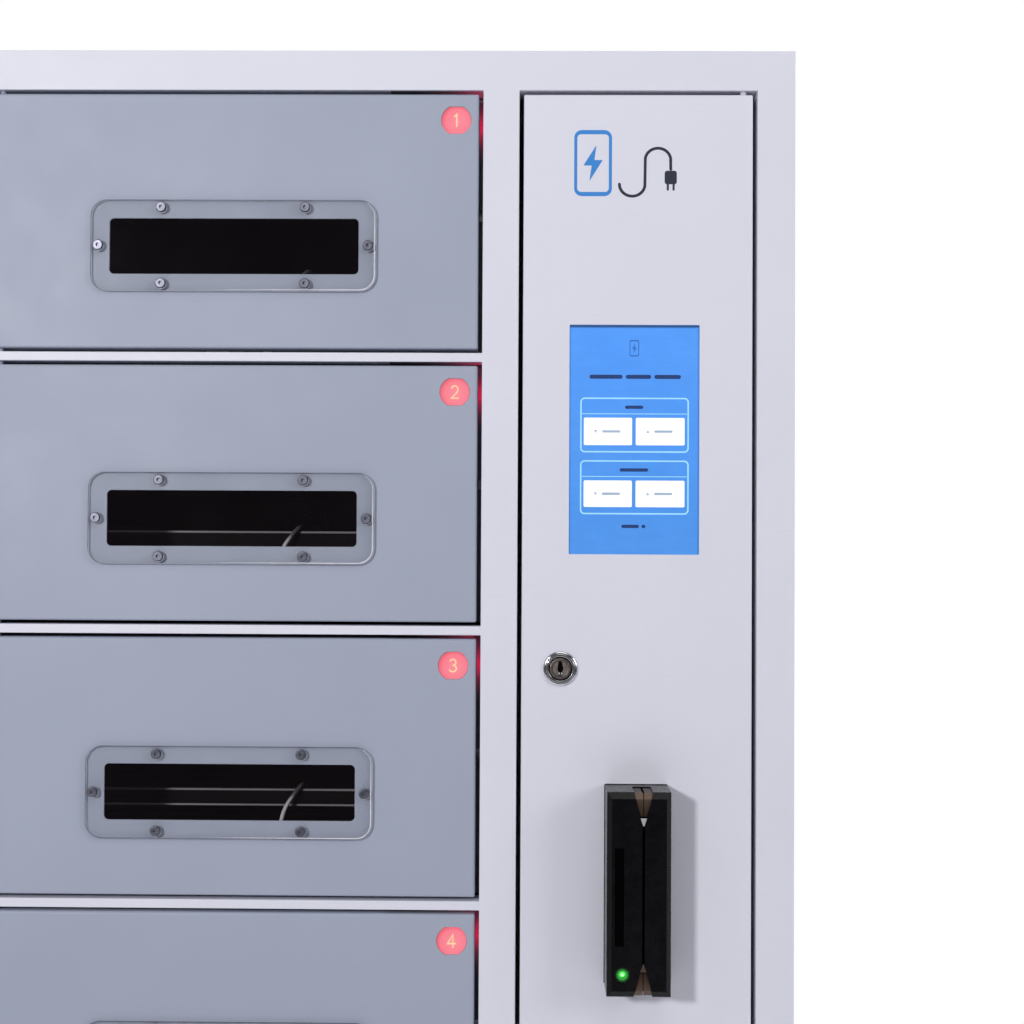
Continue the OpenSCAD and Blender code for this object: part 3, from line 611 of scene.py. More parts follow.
def ribbon(points, width):
    """Outline of a stroke of that width along points, with round ends."""
    pts = [Vector(p) for p in points]
    sides = ([], [])
    for k, p in enumerate(pts):
        before = pts[k - 1] if k else p
        after = pts[k + 1] if k < len(pts) - 1 else p
        along_a = (p - before).normalized() if before != p else (after - p).normalized()
        along_b = (after - p).normalized() if after != p else along_a
        along = (along_a + along_b).normalized()
        reach = width / 2 / max(0.5, along.dot(along_a))
        across = Vector((-along.y, along.x))
        sides[0].append(p + across * reach)
        sides[1].append(p - across * reach)
    caps = []
    for p, q in ((pts[-1], pts[-2]), (pts[0], pts[1])):
        out = (p - q).normalized()
        across = Vector((-out.y, out.x))
        caps.append([p + width / 2 * (across * math.cos(a) + out * math.sin(a))
                     for a in (math.pi * k / 6 for k in range(1, 6))])
    return [tuple(p) for p in sides[0] + caps[0] + list(reversed(sides[1])) + caps[1]]


def blocks(bm, add, cut=()):
    """Union of boxes, minus others, as one closed skin. Depths count from the front face."""
    lines = [sorted({round(corner[axis], 4) for b in [*add, *cut] for corner in b}) for axis in range(3)]

    def inside(x, y, z):
        def within(b):
            return b[0][0] < x < b[1][0] and b[0][1] < y < b[1][1] and b[0][2] < z < b[1][2]
        return any(within(b) for b in add) and not any(within(b) for b in cut)

    counts = [len(values) - 1 for values in lines]
    filled = {
        (i, j, k)
        for i in range(counts[0]) for j in range(counts[1]) for k in range(counts[2])
        if inside(*((line[c] + line[c + 1]) / 2 for line, c in zip(lines, (i, j, k))))
    }
    verts = {}

    def vert(i, j, k):
        if (i, j, k) not in verts:
            verts[i, j, k] = vertex(bm, lines[0][i], lines[1][j], lines[2][k])
        return verts[i, j, k]

    squares = (
        ((0, 0, 0), (0, 1, 0), (0, 1, 1), (0, 0, 1)),
        ((0, 0, 0), (0, 0, 1), (1, 0, 1), (1, 0, 0)),
        ((0, 0, 0), (1, 0, 0), (1, 1, 0), (0, 1, 0)),
    )
    for cell in filled:
        for axis in range(3):
            for step in (0, 1):
                beside = list(cell)
                beside[axis] += 1 if step else -1
                if tuple(beside) in filled:
                    continue
                corners = []
                for offset in squares[axis]:
                    corner = [c + o for c, o in zip(cell, offset)]
                    corner[axis] = cell[axis] + step
                    corners.append(vert(*corner))
                bm.faces.new(corners)
    bmesh.ops.recalc_face_normals(bm, faces=bm.faces)
    bmesh.ops.dissolve_limit(bm, angle_limit=math.radians(1), verts=bm.verts, edges=bm.edges)


def carve(mesh, cutters):
    """mesh with the cutters' solids taken out, as a new mesh."""
    body, tool = linked("carve_body", mesh), linked("carve_tool", cutters)
    cut = body.modifiers.new("cut", "BOOLEAN")
    cut.operation = "DIFFERENCE"
    cut.solver = "EXACT"
    cut.object = tool
    made = bpy.data.meshes.new_from_object(body.evaluated_get(bpy.context.evaluated_depsgraph_get()))
    for obj in (body, tool):
        bpy.data.objects.remove(obj)
    return made


def loft(bm, sections, sides, material=0):
    """Closed form through squared-off ovals, as (reach along -Y, half width, half height, squareness)."""
    rings = []
    for reach, w, h, square in sections:
        row = []
        for c, s in wheel(sides):
            x = w * math.copysign(abs(c) ** (2 / square), c)
            z = h * math.copysign(abs(s) ** (2 / square), s)
            row.append(bm.verts.new((x * MM, -reach * MM, z * MM)))
        rings.append(row)
    for cap in (rings[0], rings[-1]):
        bm.faces.new(cap).material_index = material
    bridge(bm, rings, material)


def lathe(bm, profile, mid_x, mid_z, sides, material=0):
    """Closed ring turned about an axis along Y; the profile is (radius, depth behind the front face)."""
    rows = [[vertex(bm, mid_x + r * c, y, mid_z + r * s) for c, s in wheel(sides)] for r, y in profile]
    bridge(bm, rows + rows[:1], material)


def edge_rod(bm, x0, x1, y, z, r, sides=12):
    """Round rod along X."""
    rows = [[vertex(bm, x, y + r * c, z + r * s) for c, s in wheel(sides)] for x in (x0, x1)]
    for row in rows:
        bm.faces.new(row)
    bridge(bm, rows)


def weigh(mesh, rule):
    """Bevel weights by a rule on the two ends, in millimetres, of each edge that turns."""
    bm = bmesh.new()
    bm.from_mesh(mesh)
    layer = bm.edges.layers.float.new("bevel_weight_edge")
    for edge in bm.edges:
        if edge.calc_face_angle(0) > 0.5:
            edge[layer] = rule(*(v.co * 1000 for v in edge.verts))
    bm.to_mesh(mesh)
    bm.free()


# ---- charging leads and their plugs
# the route in part.scad: across from the doors' middle, behind the front face, over the compartment's floor
LEAD = [
    (0, 337, 80.5), (0, 320, 80.5), (1.5, 306, 78), (4, 292, 72), (8, 278, 66.3), (13, 264, 64.5),
    (25, 220, 64.5), (35, 175, 64.5), (40, 125, 64.5), (39.5, 77.5, 64.5), (38.5, 71, 65.4),
    (36.5, 65.3, 63.4), (33, 61.9, 58.6), (28, 60.5, 50.5), (25, 60, 40.5), (22, 59, 24),
    (16, 57, 10), (6, 54.5, 4.2), (-8, 51.5, 3.4),
]
# each lead leans its own way in millimetres from the tray's lip on
LEAD_LIP_POINT = 9
LEAD_LEAN = (2, -3, 0, 4, -2, 3, -4, 1)


def plug_mesh():
    """A moulded grip with a ribbed waist, its strain relief and a hollow metal shell."""
    bm = bmesh.new()
    loft(bm, [
        (0, 1.55, 1.55, 2), (2, 1.9, 1.8, 2), (3, 2.2, 2.0, 2.2), (5.5, 2.9, 2.4, 2.4), (7.6, 4.3, 2.9, 2.8),
        (8.6, 5.0, 3.1, 3.2), (10, 5.2, 3.2, 3.6), (11.2, 5.2, 3.2, 3.6), (11.5, 4.95, 3.0, 3.6),
        (12.1, 4.95, 3.0, 3.6), (12.4, 5.2, 3.2, 3.6), (13.4, 5.2, 3.2, 3.6), (13.7, 4.95, 3.0, 3.6),
        (14.3, 4.95, 3.0, 3.6), (14.6, 5.2, 3.2, 3.6), (20.6, 5.2, 3.2, 3.6), (21.6, 5.0, 3.0, 3.4),
        (22, 4.6, 2.7, 3.2),
    ], 28)
    loft(bm, [
        (21.8, 4.15, 1.25, 4), (28.2, 4.15, 1.25, 4), (28.6, 4.0, 1.12, 4), (28.5, 3.8, 0.92, 4),
        (23.5, 3.8, 0.92, 4),
    ], 28, 1)
    loft(bm, [(23.2, 3.3, 0.35, 6), (28, 3.3, 0.35, 6), (28.2, 3.1, 0.25, 6)], 20, 2)
    return mesh_of(bm, "lead_plug")


PLUG = plug_mesh()
for material in (LEAD_WHITE, ZINC, PLASTIC):
    PLUG.materials.append(material)
for n in DOORS:
    points = []
    for k, (x, y, z) in enumerate(LEAD):
        lean = LEAD_LEAN[n - 1] if k >= LEAD_LIP_POINT else 0
        points.append(Vector((DOOR_MID + x + lean, FRONT + y, FLOOR_Z[n] + z)))
    curve = bpy.data.curves.new(f"charging_lead_{n}", "CURVE")
    curve.dimensions = "3D"
    curve.bevel_depth = 1.5 * MM
    curve.bevel_resolution = 4
    curve.resolution_u = 10
    curve.use_fill_caps = True
    spline = curve.splines.new("BEZIER")
    spline.bezier_points.add(len(points) - 1)
    for knot, p in zip(spline.bezier_points, points):
        knot.co = p * MM
        knot.handle_left_type = knot.handle_right_type = "AUTO"
    lead = piece(f"charging_lead_{n}", curve, "cabinet", JACKET)
    way = points[-1] - points[-2]
    plug = linked(f"charging_plug_{n}", PLUG)
    heading = Matrix.Rotation(math.atan2(way.y, way.x) + math.pi / 2, 4, "Z")
    plug.matrix_world = Matrix.Translation(points[-1] * MM) @ heading
    bpy.context.view_layer.update()
    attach(plug, "cabinet")
    soften(plug)
    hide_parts("charging_leads")
    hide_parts("charging_plugs")


# ---- front frame
def frame_mesh():
    """Stiles, post and rails of folded sheet, with a latch notch in the post beside each door."""
    add = [
        ((LEFT, 0, COLUMN_BOTTOM), (BAY_LEFT, SHEET, COLUMN_TOP)),
        ((BAY_LEFT - SHEET, SHEET, COLUMN_BOTTOM), (BAY_LEFT, FOLD, COLUMN_TOP)),
        ((BAY_RIGHT, 0, COLUMN_BOTTOM), (CONTROL_LEFT, SHEET, COLUMN_TOP)),
        ((BAY_RIGHT, SHEET, COLUMN_BOTTOM), (BAY_RIGHT + SHEET, FOLD, COLUMN_TOP)),
        ((CONTROL_LEFT - SHEET, SHEET, COLUMN_BOTTOM), (CONTROL_LEFT, FOLD, COLUMN_TOP)),
        ((CONTROL_RIGHT, 0, COLUMN_BOTTOM), (RIGHT, SHEET, COLUMN_TOP)),
        ((CONTROL_RIGHT, SHEET, COLUMN_BOTTOM), (CONTROL_RIGHT + SHEET, FOLD, COLUMN_TOP)),
        ((LEFT, 0, COLUMN_TOP), (RIGHT, SHEET, TOP)),
        ((LEFT + SHEET, SHEET, COLUMN_TOP), (RIGHT - SHEET, FOLD, COLUMN_TOP + SHEET)),
        ((LEFT, 0, BOTTOM), (RIGHT, SHEET, COLUMN_BOTTOM)),
        ((LEFT + SHEET, SHEET, COLUMN_BOTTOM - SHEET), (RIGHT - SHEET, FOLD, COLUMN_BOTTOM)),
    ]
    cut = []
    for n in DOORS:
        if n > 1:
            low = FLOOR_Z[n] + OPENING_H
            high = low + THIN_RAIL
            add += [
                ((BAY_LEFT, 0, low), (BAY_RIGHT, SHEET, high)),
                ((BAY_LEFT, SHEET, low), (BAY_RIGHT, FOLD, low + SHEET)),
                ((BAY_LEFT, SHEET, high - SHEET), (BAY_RIGHT, FOLD, high)),
            ]
        latch = DOOR_Z[n] + LATCH_Z
        cut.append(((BAY_RIGHT - 1, SHEET + 1, latch - 3), (BAY_RIGHT + SHEET + 0.5, FOLD - 5, latch + 3)))
    bm = bmesh.new()
    blocks(bm, add, cut)
    return mesh_of(bm, "front_frame")


front_frame = soften(piece("front_frame", frame_mesh(), "cabinet", WHITE), 0.5, 2)
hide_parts("frame_stiles", "frame_rails")
bm = bmesh.new()
for x in (LEFT + SHEET, RIGHT - SHEET - 15):
    blocks(bm, [((x, BACK - FRONT - SHEET, BOTTOM + SHEET), (x + 15, BACK - FRONT, TOP - SHEET))])
soften(piece("rear_strips", bm, "cabinet", INNER), 0.25, 2)


# ---- folded door skins
# bevel weights of a skin's edges: outer front, cut-out, fold corner, other level edges, hinge pin
OUTER_EDGE, CUT_EDGE, FOLD_EDGE, LEVEL_EDGE, PIN_EDGE = 1.0, 0.17, 0.6, 0.14, 0.12
PIN_R, PIN_INSET = 2, 6
SAME = 0.01


def folded_face(bm, x0, x1, z0, z1):
    """A skin's face, its folds and the inside of both, open at the back."""
    rows = []
    for inset, y in ((0, 0), (0, DOOR_FOLD), (SHEET, DOOR_FOLD), (SHEET, SHEET)):
        left, right, low, high = x0 + inset, x1 - inset, z0 + inset, z1 - inset
        corners = ((left, low), (right, low), (right, high), (left, high))
        rows.append([vertex(bm, x, y, z) for x, z in corners])
    bm.faces.new(rows[0])
    bm.faces.new(rows[-1])
    bridge(bm, rows)


def pins(bm, x, z0, z1):
    """Two hinge pins that stand out of a skin's upper and lower ends."""
    for low, high in ((z1 - 6, z1 + 5), (z0 - 5, z0 + 6)):
        place = Vector((x, FRONT + 5, (low + high) / 2)) * MM
        bmesh.ops.create_cone(bm, cap_ends=True, segments=24, radius1=PIN_R * MM, radius2=PIN_R * MM,
                              depth=(high - low) * MM, matrix=Matrix.Translation(place))


def skin(name, x0, x1, z0, z1, cutter_outlines, hinge_x):
    """A folded sheet door with cut-outs and hinge pins, its edges weighted for one bevel."""
    bm = bmesh.new()
    folded_face(bm, x0, x1, z0, z1)
    shell = mesh_of(bm, name + "_shell")
    bm = bmesh.new()
    for outline in cutter_outlines:
        prism(bm, outline, -2, SHEET + 2)
    shell = carve(shell, mesh_of(bm, name + "_cuts"))
    bm = bmesh.new()
    bm.from_mesh(shell)
    pins(bm, hinge_x, z0, z1)
    mesh = mesh_of(bm, name)

    def rim(p):
        return min(abs(p.x - x0), abs(p.x - x1), abs(p.z - z0), abs(p.z - z1)) < SAME

    def rule(a, b):
        if abs(a.x - hinge_x) < PIN_R + 0.1 and (a.z > z1 + 0.1 or a.z < z0 - 0.1):
            return PIN_EDGE if abs(a.z - b.z) < SAME else 0
        if max(a.y, b.y) < FRONT + SAME:
            return OUTER_EDGE if rim(a) and rim(b) else CUT_EDGE
        if abs(a.y - b.y) > 1 and rim(a) and rim(b):
            return FOLD_EDGE
        return LEVEL_EDGE if abs(a.y - b.y) < SAME else 0

    weigh(mesh, rule)
    return mesh


door_mesh = skin("door_skin", DOOR_LEFT, DOOR_RIGHT, 0, DOOR_H, [
    rounded(DOOR_MID, WINDOW_Z, 166, 37, 3), flat_disc(BADGE[0], BADGE[1], 10, 18),
], DOOR_LEFT + PIN_INSET)
for n in DOORS:
    door = piece(f"door_skin_{n}", door_mesh, f"compartment_door_{n}", GREY_BLUE, origin=(0, 0, DOOR_Z[n]))
    soften(door, 1.9, 4, weighted=True)
    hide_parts(f"door_{n}")

wiring_low, wiring_high = READER[0].z + 50, READER[0].z + 86
panel_cuts = [
    rounded(SCREEN_MID, SCREEN_TOP - SCREEN_H / 2, SCREEN_W, SCREEN_H, 0.6, 3),
    circle(LOCK.x, LOCK.z, 9.6, 48),
    [(PANEL_MID - 9, wiring_low), (PANEL_MID + 9, wiring_low),
     (PANEL_MID + 9, wiring_high), (PANEL_MID - 9, wiring_high)],
]
panel_mesh = skin("control_skin", PANEL_LEFT, PANEL_RIGHT, PANEL_BOTTOM, PANEL_TOP, panel_cuts,
                  PANEL_RIGHT - PIN_INSET)
panel = piece("control_skin", panel_mesh, "control_panel", WHITE)
soften(panel, 1.9, 4, weighted=True)
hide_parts("control_door")

# ---- window plates
PLATE_W, PLATE_H = 190, 61
SCREWS = [(sx * (PLATE_W / 2 - 47.2), sz * (PLATE_H / 2 - 5.2)) for sx in (-1, 1) for sz in (-1, 1)]
SCREWS += [(sx * (PLATE_W / 2 - 5.3), 0) for sx in (-1, 1)]


def plate_mesh():
    """Clear plate with round corners and six screw holes, weighted along its own outline only."""
    bm = bmesh.new()
    prism(bm, rounded(DOOR_MID, 0, PLATE_W, PLATE_H, 11, 10), -3, -0.02)
    solid = mesh_of(bm, "plate_solid")
    bm = bmesh.new()
    for x, z in SCREWS:
        prism(bm, circle(DOOR_MID + x, z, 1.7, 24), -5, 2)
    mesh = carve(solid, mesh_of(bm, "plate_cuts"))

    def rule(a, b):
        level = abs(a.y - b.y) < SAME
        outer = max(abs(a.x - DOOR_MID) - PLATE_W / 2 + 12, abs(a.z) - PLATE_H / 2 + 0.2) > 0
        off_holes = all((a.x - DOOR_MID - x) ** 2 + (a.z - z) ** 2 > 9 for x, z in SCREWS)
        return 1.0 if level and outer and off_holes else 0
    weigh(mesh, rule)
    return mesh


def rims_mesh():
    """A raised rim round each screw hole."""
    bm = bmesh.new()
    for x, z in SCREWS:
        lathe(bm, [(3.05, -3.0), (3.1, -3.25), (3.7, -3.12), (3.75, -3.0)], DOOR_MID + x, z, 40)
    return mesh_of(bm, "plate_rims")


def edge_light_mesh():
    """A hair-thin strip just inside the plate's right and lower edges, carrying the painted edge highlight.
    """
    inset, r = 1.1, 9.9
    mid_x, low = DOOR_MID + PLATE_W / 2 - inset - r, PLATE_H / 2 - inset - r
    line = arc(mid_x, low, r, r, 60, 0, 8) + arc(mid_x, -low, r, r, 0, -90, 12)
    line += [(DOOR_MID + k * 20, -low - r) for k in (3, 2, 1, 0, -1)]
    bm = bmesh.new()
    prism(bm, ribbon(line, 0.75), -3.05, -3.01)
    return mesh_of(bm, "plate_edge_light")


plate, rims, lit_edge = plate_mesh(), rims_mesh(), edge_light_mesh()
for n in DOORS:
    door, place = f"compartment_door_{n}", (0, 0, WINDOW[n])
    clear = piece(f"window_plate_{n}", plate, door, CLEAR, origin=place)
    soften(clear, 0.55, 2, weighted=True)
    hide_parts(f"window_{n}")
    soften(piece(f"plate_rims_{n}", rims, door, RIM, origin=place))
    # a strip of painted highlight inside each plate's right and lower edges
    piece(f"plate_edge_{n}", lit_edge, door, EDGE_LIGHT, origin=place)
    carried(f"fittings_{n}", DARK_STEEL, 0.25)

# ---- number lights and their digits
DIGIT_W, DIGIT_H, STROKE = 4.3, 8.2, 0.95
# strokes of each digit, from its baseline's middle, in widths and heights
DIGITS = {
    1: [[(0.08, 1), (0.08, 0)], [(-0.26, 0.8), (0.04, 0.95)]],
    2: [arc(0, 0.72, 0.5, 0.28, 165, -20, 12) + [(0.34, 0.46), (-0.5, 0), (0.56, 0)]],
    3: [arc(-0.04, 0.755, 0.46, 0.245, 155, -70, 12) + [(-0.02, 0.53)],
        arc(-0.04, 0.265, 0.54, 0.265, 84, -155, 14)],
    4: [[(0.6, 0.28), (-0.6, 0.28), (0.22, 1), (0.22, 0)]],
    5: [[(0.46, 1), (-0.38, 1), (-0.44, 0.54)] + arc(-0.02, 0.31, 0.52, 0.31, 130, -150, 16)],
    6: [[(0.4, 0.96)] + arc(0.16, 0.34, 0.66, 0.6, 100, 170, 8) + arc(0, 0.3, 0.5, 0.3, 190, 530, 20)],
    7: [[(-0.5, 1), (0.52, 1), (-0.1, 0)]],
    8: [arc(0, 0.76, 0.42, 0.24, -85, 275, 20), arc(0, 0.265, 0.52, 0.265, 95, 455, 22)],
}


def light_mesh():
    """Lens and housing, with the origin in the lens's middle."""
    bm = bmesh.new()
    prism(bm, flat_disc(0, 0, 9.85, 17.7), 0.3, 1.5)
    prism(bm, rounded(0, 0, 26, 23, 1.5, 3), 1.5, 9, 1)
    return mesh_of(bm, "number_light")


number_light = light_mesh()
for n in DOORS:
    place = (BADGE[0], 0, DOOR_Z[n] + BADGE[1])
    badge = piece(f"number_lens_{n}", number_light, f"compartment_door_{n}", LENS, PLASTIC, origin=place)
    soften(badge, 0.25, 2)
    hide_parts(f"number_light_{n}")
    bm = bmesh.new()
    for stroke in DIGITS[n]:
        line = [(x * DIGIT_W, z * DIGIT_H - DIGIT_H / 2) for x, z in stroke]
        prism(bm, ribbon(line, STROKE), 0.12, 0.32)
    piece(f"digit_{n}", bm, f"compartment_door_{n}", DIGIT, origin=place)


def seal_mesh():
    """Door seal behind a door's right and top gaps, with the origin level with the badge and on the post."""
    bm = bmesh.new()
    near, far, top = 19.2, 20.6, 19.6
    latch = LATCH_Z - BADGE[1]
    blocks(bm, [((-5.2, near, -(BADGE[1] + 0.6)), (-0.3, far, latch - 3.4))])
    blocks(bm, [((-5.2, near, latch + 3.4), (-0.3, far, top))])
    blocks(bm, [((BAY_LEFT - BAY_RIGHT + 2, near, top - 5), (-5.4, far, top))])
    for face in bm.faces:
        if face.calc_center_median().x < -5.3 * MM:
            face.material_index = 1
    return mesh_of(bm, "door_seal")


seal = seal_mesh()
# painted light: the seals and a thin sheet under each rail glow with the number light's red light
bm = bmesh.new()
blocks(bm, [((-62, 1.8, -0.25), (-1, 17, 0))])
rail_glow = mesh_of(bm, "rail_glow")
for n in DOORS:
    height = DOOR_Z[n] + BADGE[1]
    soften(piece(f"door_seal_{n}", seal, "cabinet", SEAL_RED_GLOW, TOP_RED_GLOW, origin=(BAY_RIGHT, 0, height)), 0.3, 2)
    rail_low = FLOOR_Z[n] + OPENING_H
    piece(f"rail_guide_{n}", rail_glow, "cabinet", TOP_RED_GLOW, origin=(BAY_RIGHT, 0, rail_low))

# ---- compartments
for node, material, width in (
    ("side_panels", WHITE, 0.4), ("top_panel", WHITE, 0.3), ("base_panel", WHITE, 0.3),
    ("rear_panel", WHITE, 0.25), ("rear_screws", ZINC, 0.2), ("partition", INNER, 0.2),
    ("compartment_floors", BLACK, 0.3), ("phone_trays", BLACK, 0.5), ("charger_wall", BLACK, 0.2),
    ("charger_modules", PLASTIC, 0.5), ("latch_locks", ZINC, 0.5), ("foot_pads", RUBBER, 0.8),
    ("foot_studs", ZINC, 0.4), ("power_inlet", PLASTIC, 0.4), ("fan_frame", PLASTIC, 0.4),
    ("fan_rotor", PLASTIC, 0.3), ("power_supply", ZINC, 0.4),
):
    carried(node, material, width)


tray_low, tray_high = box("phone_trays")
lip_top = tray_high.z - FLOOR_Z[1]
# light grey rods along each tray's lip: worn bare edges, with a painted highlight where the lip's bends
# catch the light
bm = bmesh.new()
for n in DOORS:
    for drop in (0.7, 11.3):
        edge_rod(bm, LEFT + SHEET + 0.2, BAY_RIGHT - 0.2, tray_low.y - FRONT + 0.45,
                 FLOOR_Z[n] + (lip_top - drop), 0.85)
soften(piece("tray_edges", bm, "cabinet", EDGE_GREY))

# ---- lock
bm = bmesh.new()
lathe(bm, [
    (7.6, -1.5), (8.0, -2.3), (8.3, -2.5), (9.3, -2.5), (9.6, -2.3), (9.7, -1.6), (10.05, -1.55),
    (10.2, -1.95), (10.9, -1.75), (11.4, -1.2), (11.5, -0.8), (11.5, -0.02), (9.5, -0.02), (9.5, 20),
    (7.6, 20),
], LOCK.x, LOCK.z, 72)
lathe(bm, [(9.72, -1.5), (9.72, -1.62), (10.04, -1.57), (10.04, -1.45)], LOCK.x, LOCK.z, 72, 1)
prism(bm, circle(LOCK.x, LOCK.z, 13.5, 6), 1.6, 5.4)
case = soften(piece("lock_case", bm, "control_panel", CHROME, KEYHOLE), 0.15, 2, 40)
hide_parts("lock_body")
carried("lock_plug", PLUG_STEEL, 0.35)
bm = bmesh.new()
prism(bm, [(0, 4.9), (-1.0, 3.6), (-1.9, 0.6), (-1.75, -0.8), (-0.9, -2.9),
           (0, -4.6), (0.9, -2.9), (1.75, -0.8), (1.9, 0.6), (1.0, 3.6)], -1.78, -1.5)
for x in (-0.8, 0.8):
    prism(bm, rounded(x, -3.1, 0.8, 1.5, 0.3, 3), -1.9, -1.7, 1)
lathe(bm, [(5.0, -1.74), (5.3, -1.95), (6.7, -1.95), (7.1, -1.74)], 0, 0, 56, 2)
lathe(bm, [(7.12, -1.72), (7.12, -1.76), (7.5, -1.76), (7.5, -1.72)], 0, 0, 56)
soften(piece("keyway", bm, "key_plug", KEYHOLE, PALE_GREY, BRONZE, origin=(LOCK.x, 0, LOCK.z)))

# ---- card reader
carried("card_reader", GLOSS, 0.5, 3)
carried("reader_lamp", LAMP, 0.1)
slot_x = PANEL_MID + 2.8
half_h = (READER[1].z - READER[0].z) / 2
reader_w = READER[1].x - READER[0].x
reader_mid = (READER[0].z + READER[1].z) / 2
reader_front = READER[0].y - FRONT


def guide_plates(bm, way):
    """Funnel plates either side of a throat's slot: flat, then laid back along the end chamfer."""
    end = way * half_h
    rows = [(end - way * 15.4, 2.2, 1.2), (end - way * 4.2, 5.35, 1.2), (end - way * 0.7, 5.9, 3.9)]
    for sx in (1, -1):
        near, far = ([[vertex(bm, sx * x, reader_front + y + t, z) for x in (0.2, w)]
                      for z, w, y in rows] for t in (0, 1))
        for a, b, c, d in zip(near, near[1:], far, far[1:]):
            for four in ((a[0], a[1], b[1], b[0]), (c[0], c[1], d[1], d[0]),
                         (a[0], b[0], d[0], c[0]), (a[1], b[1], d[1], c[1])):
                bm.faces.new(four)
        for a, b in ((near[0], far[0]), (near[-1], far[-1])):
            bm.faces.new((a[0], a[1], b[1], b[0]))


bm = bmesh.new()
for way in (1, -1):
    guide_plates(bm, way)
    end = way * half_h
    for sx in (1, -1):
        ledge = [(sx * x, -way * z) for x, z in ((0.7, 0.8), (5.8, 0.8), (5.5, 1.8), (0.7, 1.8))]
        prism(bm, shifted(0, end, ledge), reader_front + 4.2, reader_front + 25, 2)
    pointer = [(x, -way * z) for x, z in ((-2.1, 16.2), (2.1, 16.2), (0.3, 21.4), (-0.3, 21.4))]
    prism(bm, shifted(0, end, pointer), reader_front - 0.1, reader_front + 0.3, 1 if way > 0 else 2)
soften(piece("reader_throats", bm, "control_panel", THROAT, PALE_GREY, THROAT_DARK,
             origin=(slot_x, 0, reader_mid)), 0.2, 2)
bm = bmesh.new()
prism(bm, rounded(0, 0, 5.5, 62, 0.8, 4), reader_front + 0.8, reader_front + 1.3)
lens_place = (PANEL_MID - 12.5, 0, READER[1].z - 66.4)
soften(piece("reader_lens", bm, "control_panel", SMOKE, origin=lens_place), 0.25, 3)
bm = bmesh.new()
halo_ring = ((2.1, -0.06), (5.3, -0.06), (5.3, -0.02), (2.1, -0.02))
lathe(bm, [(r, reader_front + y) for r, y in halo_ring], 0, 0, 48)
piece("lamp_halo", bm, "control_panel", HALO, origin=(LAMP_MID.x, 0, LAMP_MID.z))
bm = bmesh.new()
ring(bm, rounded(PANEL_MID, reader_mid, reader_w + 0.9, 2 * half_h + 0.9, 1.2),
     rounded(PANEL_MID, reader_mid, reader_w - 0.6, 2 * half_h - 0.6, 0.8), -0.5, -0.02)
soften(piece("reader_gasket", bm, "control_panel", RUBBER))

# ---- screen
carried("screen_glass", GLASS, 0.1)
carried("display_module", PLASTIC, 0.2)


def on_screen(u, v):
    """Fractions of the screen, from its top left, as X and Z in millimetres."""
    return SCREEN_X + u * SCREEN_W, SCREEN_TOP - v * SCREEN_H


def bar(bm, u0, u1, v, thick, y, material, r=None):
    """A level bar between two fractions of the screen's width."""
    x0, z = on_screen(u0, v)
    x1 = on_screen(u1, v)[0]
    outline = rounded((x0 + x1) / 2, z, x1 - x0, thick, r or thick / 2.2, 3)
    prism(bm, outline, y, y + 0.04, material)


bm = bmesh.new()
prism(bm, rounded(SCREEN_MID, SCREEN_TOP - SCREEN_H / 2, SCREEN_W + 4, SCREEN_H + 4, 0.5, 2), 2.94, 2.99)
piece("screen_face", bm, "control_panel", SCREEN_BLUE)
bm = bmesh.new()
# title and closing line, as plain bars in place of words
for u0, u1 in ((0.155, 0.41), (0.435, 0.63), (0.655, 0.86)):
    bar(bm, u0, u1, 0.225, 2.7, 2.86, 1)
for u0, u1 in ((0.405, 0.54), (0.56, 0.59)):
    bar(bm, u0, u1, 0.878, 2.2, 2.86, 1)
# two framed groups: a heading, a rule and two cards, each with an arrow and a bar
for top_v, low_v, head_u0, head_u1 in ((0.316, 0.556, 0.43, 0.57), (0.59, 0.826, 0.39, 0.61)):
    x0, z1 = on_screen(0.085, top_v)
    x1, z0 = on_screen(0.922, low_v)
    mid = ((x0 + x1) / 2, (z0 + z1) / 2)
    ring(bm, rounded(*mid, x1 - x0, z1 - z0, 3), rounded(*mid, x1 - x0 - 1.9, z1 - z0 - 1.9, 2.1), 2.86, 2.9)
    bar(bm, head_u0, head_u1, top_v + 0.042, 2.2, 2.86, 1)
    bar(bm, 0.1, 0.907, top_v + 0.071, 0.5, 2.87, 0, 0.1)
    label_v = (top_v + low_v) / 2 + 0.028
    for u0, u1, way in ((0.113, 0.485, -1), (0.513, 0.89, 1)):
        a, b = on_screen(u0, top_v + 0.088)
        c, d = on_screen(u1, low_v - 0.032)
        prism(bm, rounded((a + c) / 2, (b + d) / 2, c - a, b - d, 0.9, 3), 2.84, 2.9, 2)
        mid_u = (u0 + u1) / 2
        bar(bm, mid_u - 0.045, mid_u + 0.095, label_v, 1.5, 2.8, 3)
        arrow = [(-1.0, -way * 0.9), (1.0, -way * 0.9), (0, way * 1.0)]
        prism(bm, shifted(*on_screen(mid_u - 0.095, label_v), arrow), 2.8, 2.84, 3)
# small pictogram: a phone with a bolt in it
mid = on_screen(0.5, 0.1)
ring(bm, rounded(*mid, 6.4, 11, 1.4), rounded(*mid, 5.2, 9.2, 0.9), 2.86, 2.9, 4)
bolt = [(0.6, 3.4), (-1.7, -0.4), (-0.2, -0.4), (-0.6, -3.4), (1.7, 0.5), (0.2, 0.5)]
prism(bm, shifted(*mid, bolt), 2.86, 2.9, 4)
piece("screen_layout", bm, "control_panel", UI_LINE, UI_DARK, UI_WHITE, UI_PALE, UI_ICON)

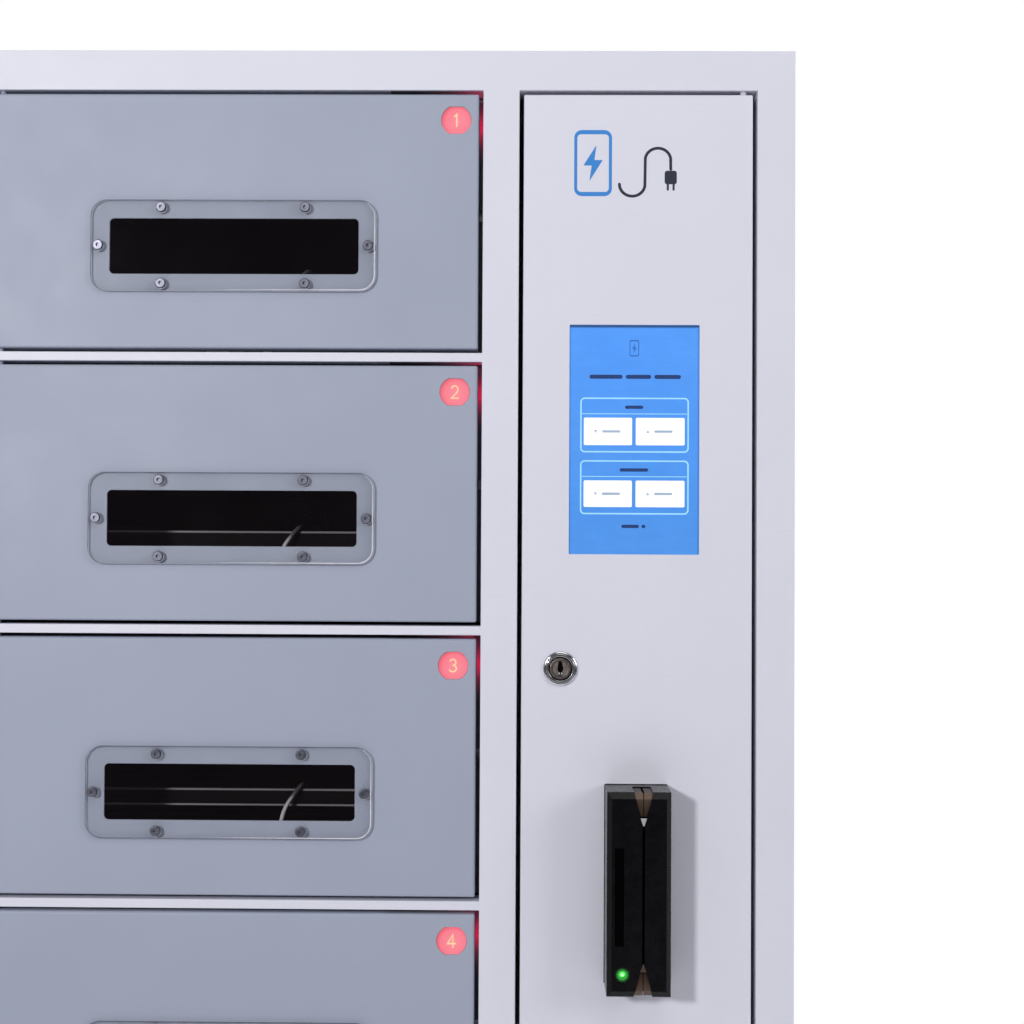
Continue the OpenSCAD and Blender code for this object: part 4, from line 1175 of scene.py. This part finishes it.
# ---- printed pictogram on the control door
bm = bmesh.new()
mark_x, mark_z = PANEL_LEFT + 46, PANEL_TOP - 46
ring(bm, rounded(mark_x, mark_z, 25, 44, 5), rounded(mark_x, mark_z, 21, 38.5, 2.6), -0.12, -0.02)
prism(bm, rounded(mark_x, mark_z + 20.6, 6, 1.0, 0.45, 3), -0.14, -0.1)
bolt = [(2.2, 12), (-6.4, -1.6), (-0.9, -1.6), (-2.4, -12), (6.4, 2), (0.9, 2)]
prism(bm, shifted(mark_x, mark_z, bolt), -0.12, -0.02)
plug_x = mark_x + 51.5
cable = [(mark_x + 17.5, mark_z - 14)] + arc(mark_x + 26, mark_z - 14, 8.5, 8, 190, 350, 14)
cable += arc(mark_x + 43, mark_z + 2, 8.5, 8, 170, 10, 14) + [(plug_x, mark_z - 4)]
prism(bm, ribbon(cable, 1.9), -0.12, -0.02, 1)
prism(bm, rounded(plug_x, mark_z - 9.5, 8, 9, 1.6, 4), -0.14, -0.02, 1)
for offset in (-1.9, 1.9):
    prism(bm, rounded(plug_x + offset, mark_z - 16, 1.4, 4.4, 0.4, 3), -0.12, -0.02, 1)
piece("pictogram", bm, "control_panel", BLUE_INK, DARK_INK)

# ---- floor, world and lights
bm = bmesh.new()
bmesh.ops.create_grid(bm, x_segments=2, y_segments=2, size=2.7)
floor = linked("floor", mesh_of(bm, "floor"))
floor.location = (0, 0, -0.0005)
floor_paint = powder_coat("studio_floor", rgb(232, 232, 236), 0.6, 0.01, peel=0.02, peel_size=4)
floor.data.materials.append(floor_paint)

world = bpy.data.worlds.new("studio")
world.use_nodes = True
bpy.context.scene.world = world
tree = world.node_tree
background = tree.nodes["Background"]
where = tree.nodes.new("ShaderNodeTexCoord")
split = tree.nodes.new("ShaderNodeSeparateXYZ")
tree.links.new(where.outputs["Generated"], split.inputs[0])
span = tree.nodes.new("ShaderNodeMapRange")
for socket, number in zip(("From Min", "From Max", "To Min", "To Max"), (-0.35, 0.35, 0.0, 1.0)):
    span.inputs[socket].default_value = number
tree.links.new(split.outputs[1], span.inputs["Value"])
tones = tree.nodes.new("ShaderNodeValToRGB")
tones.color_ramp.elements[0].color = (0.07, 0.07, 0.08, 1)
tones.color_ramp.elements[1].color = (1.0, 1.0, 1.0, 1)
tree.links.new(span.outputs[0], tones.inputs[0])
tree.links.new(tones.outputs[0], background.inputs["Color"])
background.inputs["Strength"].default_value = 1.0
bpy.context.scene.view_settings.view_transform = "Standard"


def area_light(name, place, target, power, size, colour=(1, 1, 1)):
    light = bpy.data.lights.new(name, "AREA")
    light.energy = power
    light.size = size
    light.color = colour
    obj = linked(name, light)
    obj.location = place
    obj.rotation_mode = "QUATERNION"
    obj.rotation_quaternion = (Vector(target) - Vector(place)).to_track_quat("-Z", "Y")


area_light("key", (-1.02, -2.24, 1.70), (0.1, -0.18, 1.15), 27.5, 0.22)
area_light("top_box", (0.3, -1.3, 2.5), (0.05, -0.18, 1.25), 5.4, 1.0)
area_light("right_fill", (2.2, -1.6, 1.9), (0.1, -0.18, 1.1), 17.5, 1.0)
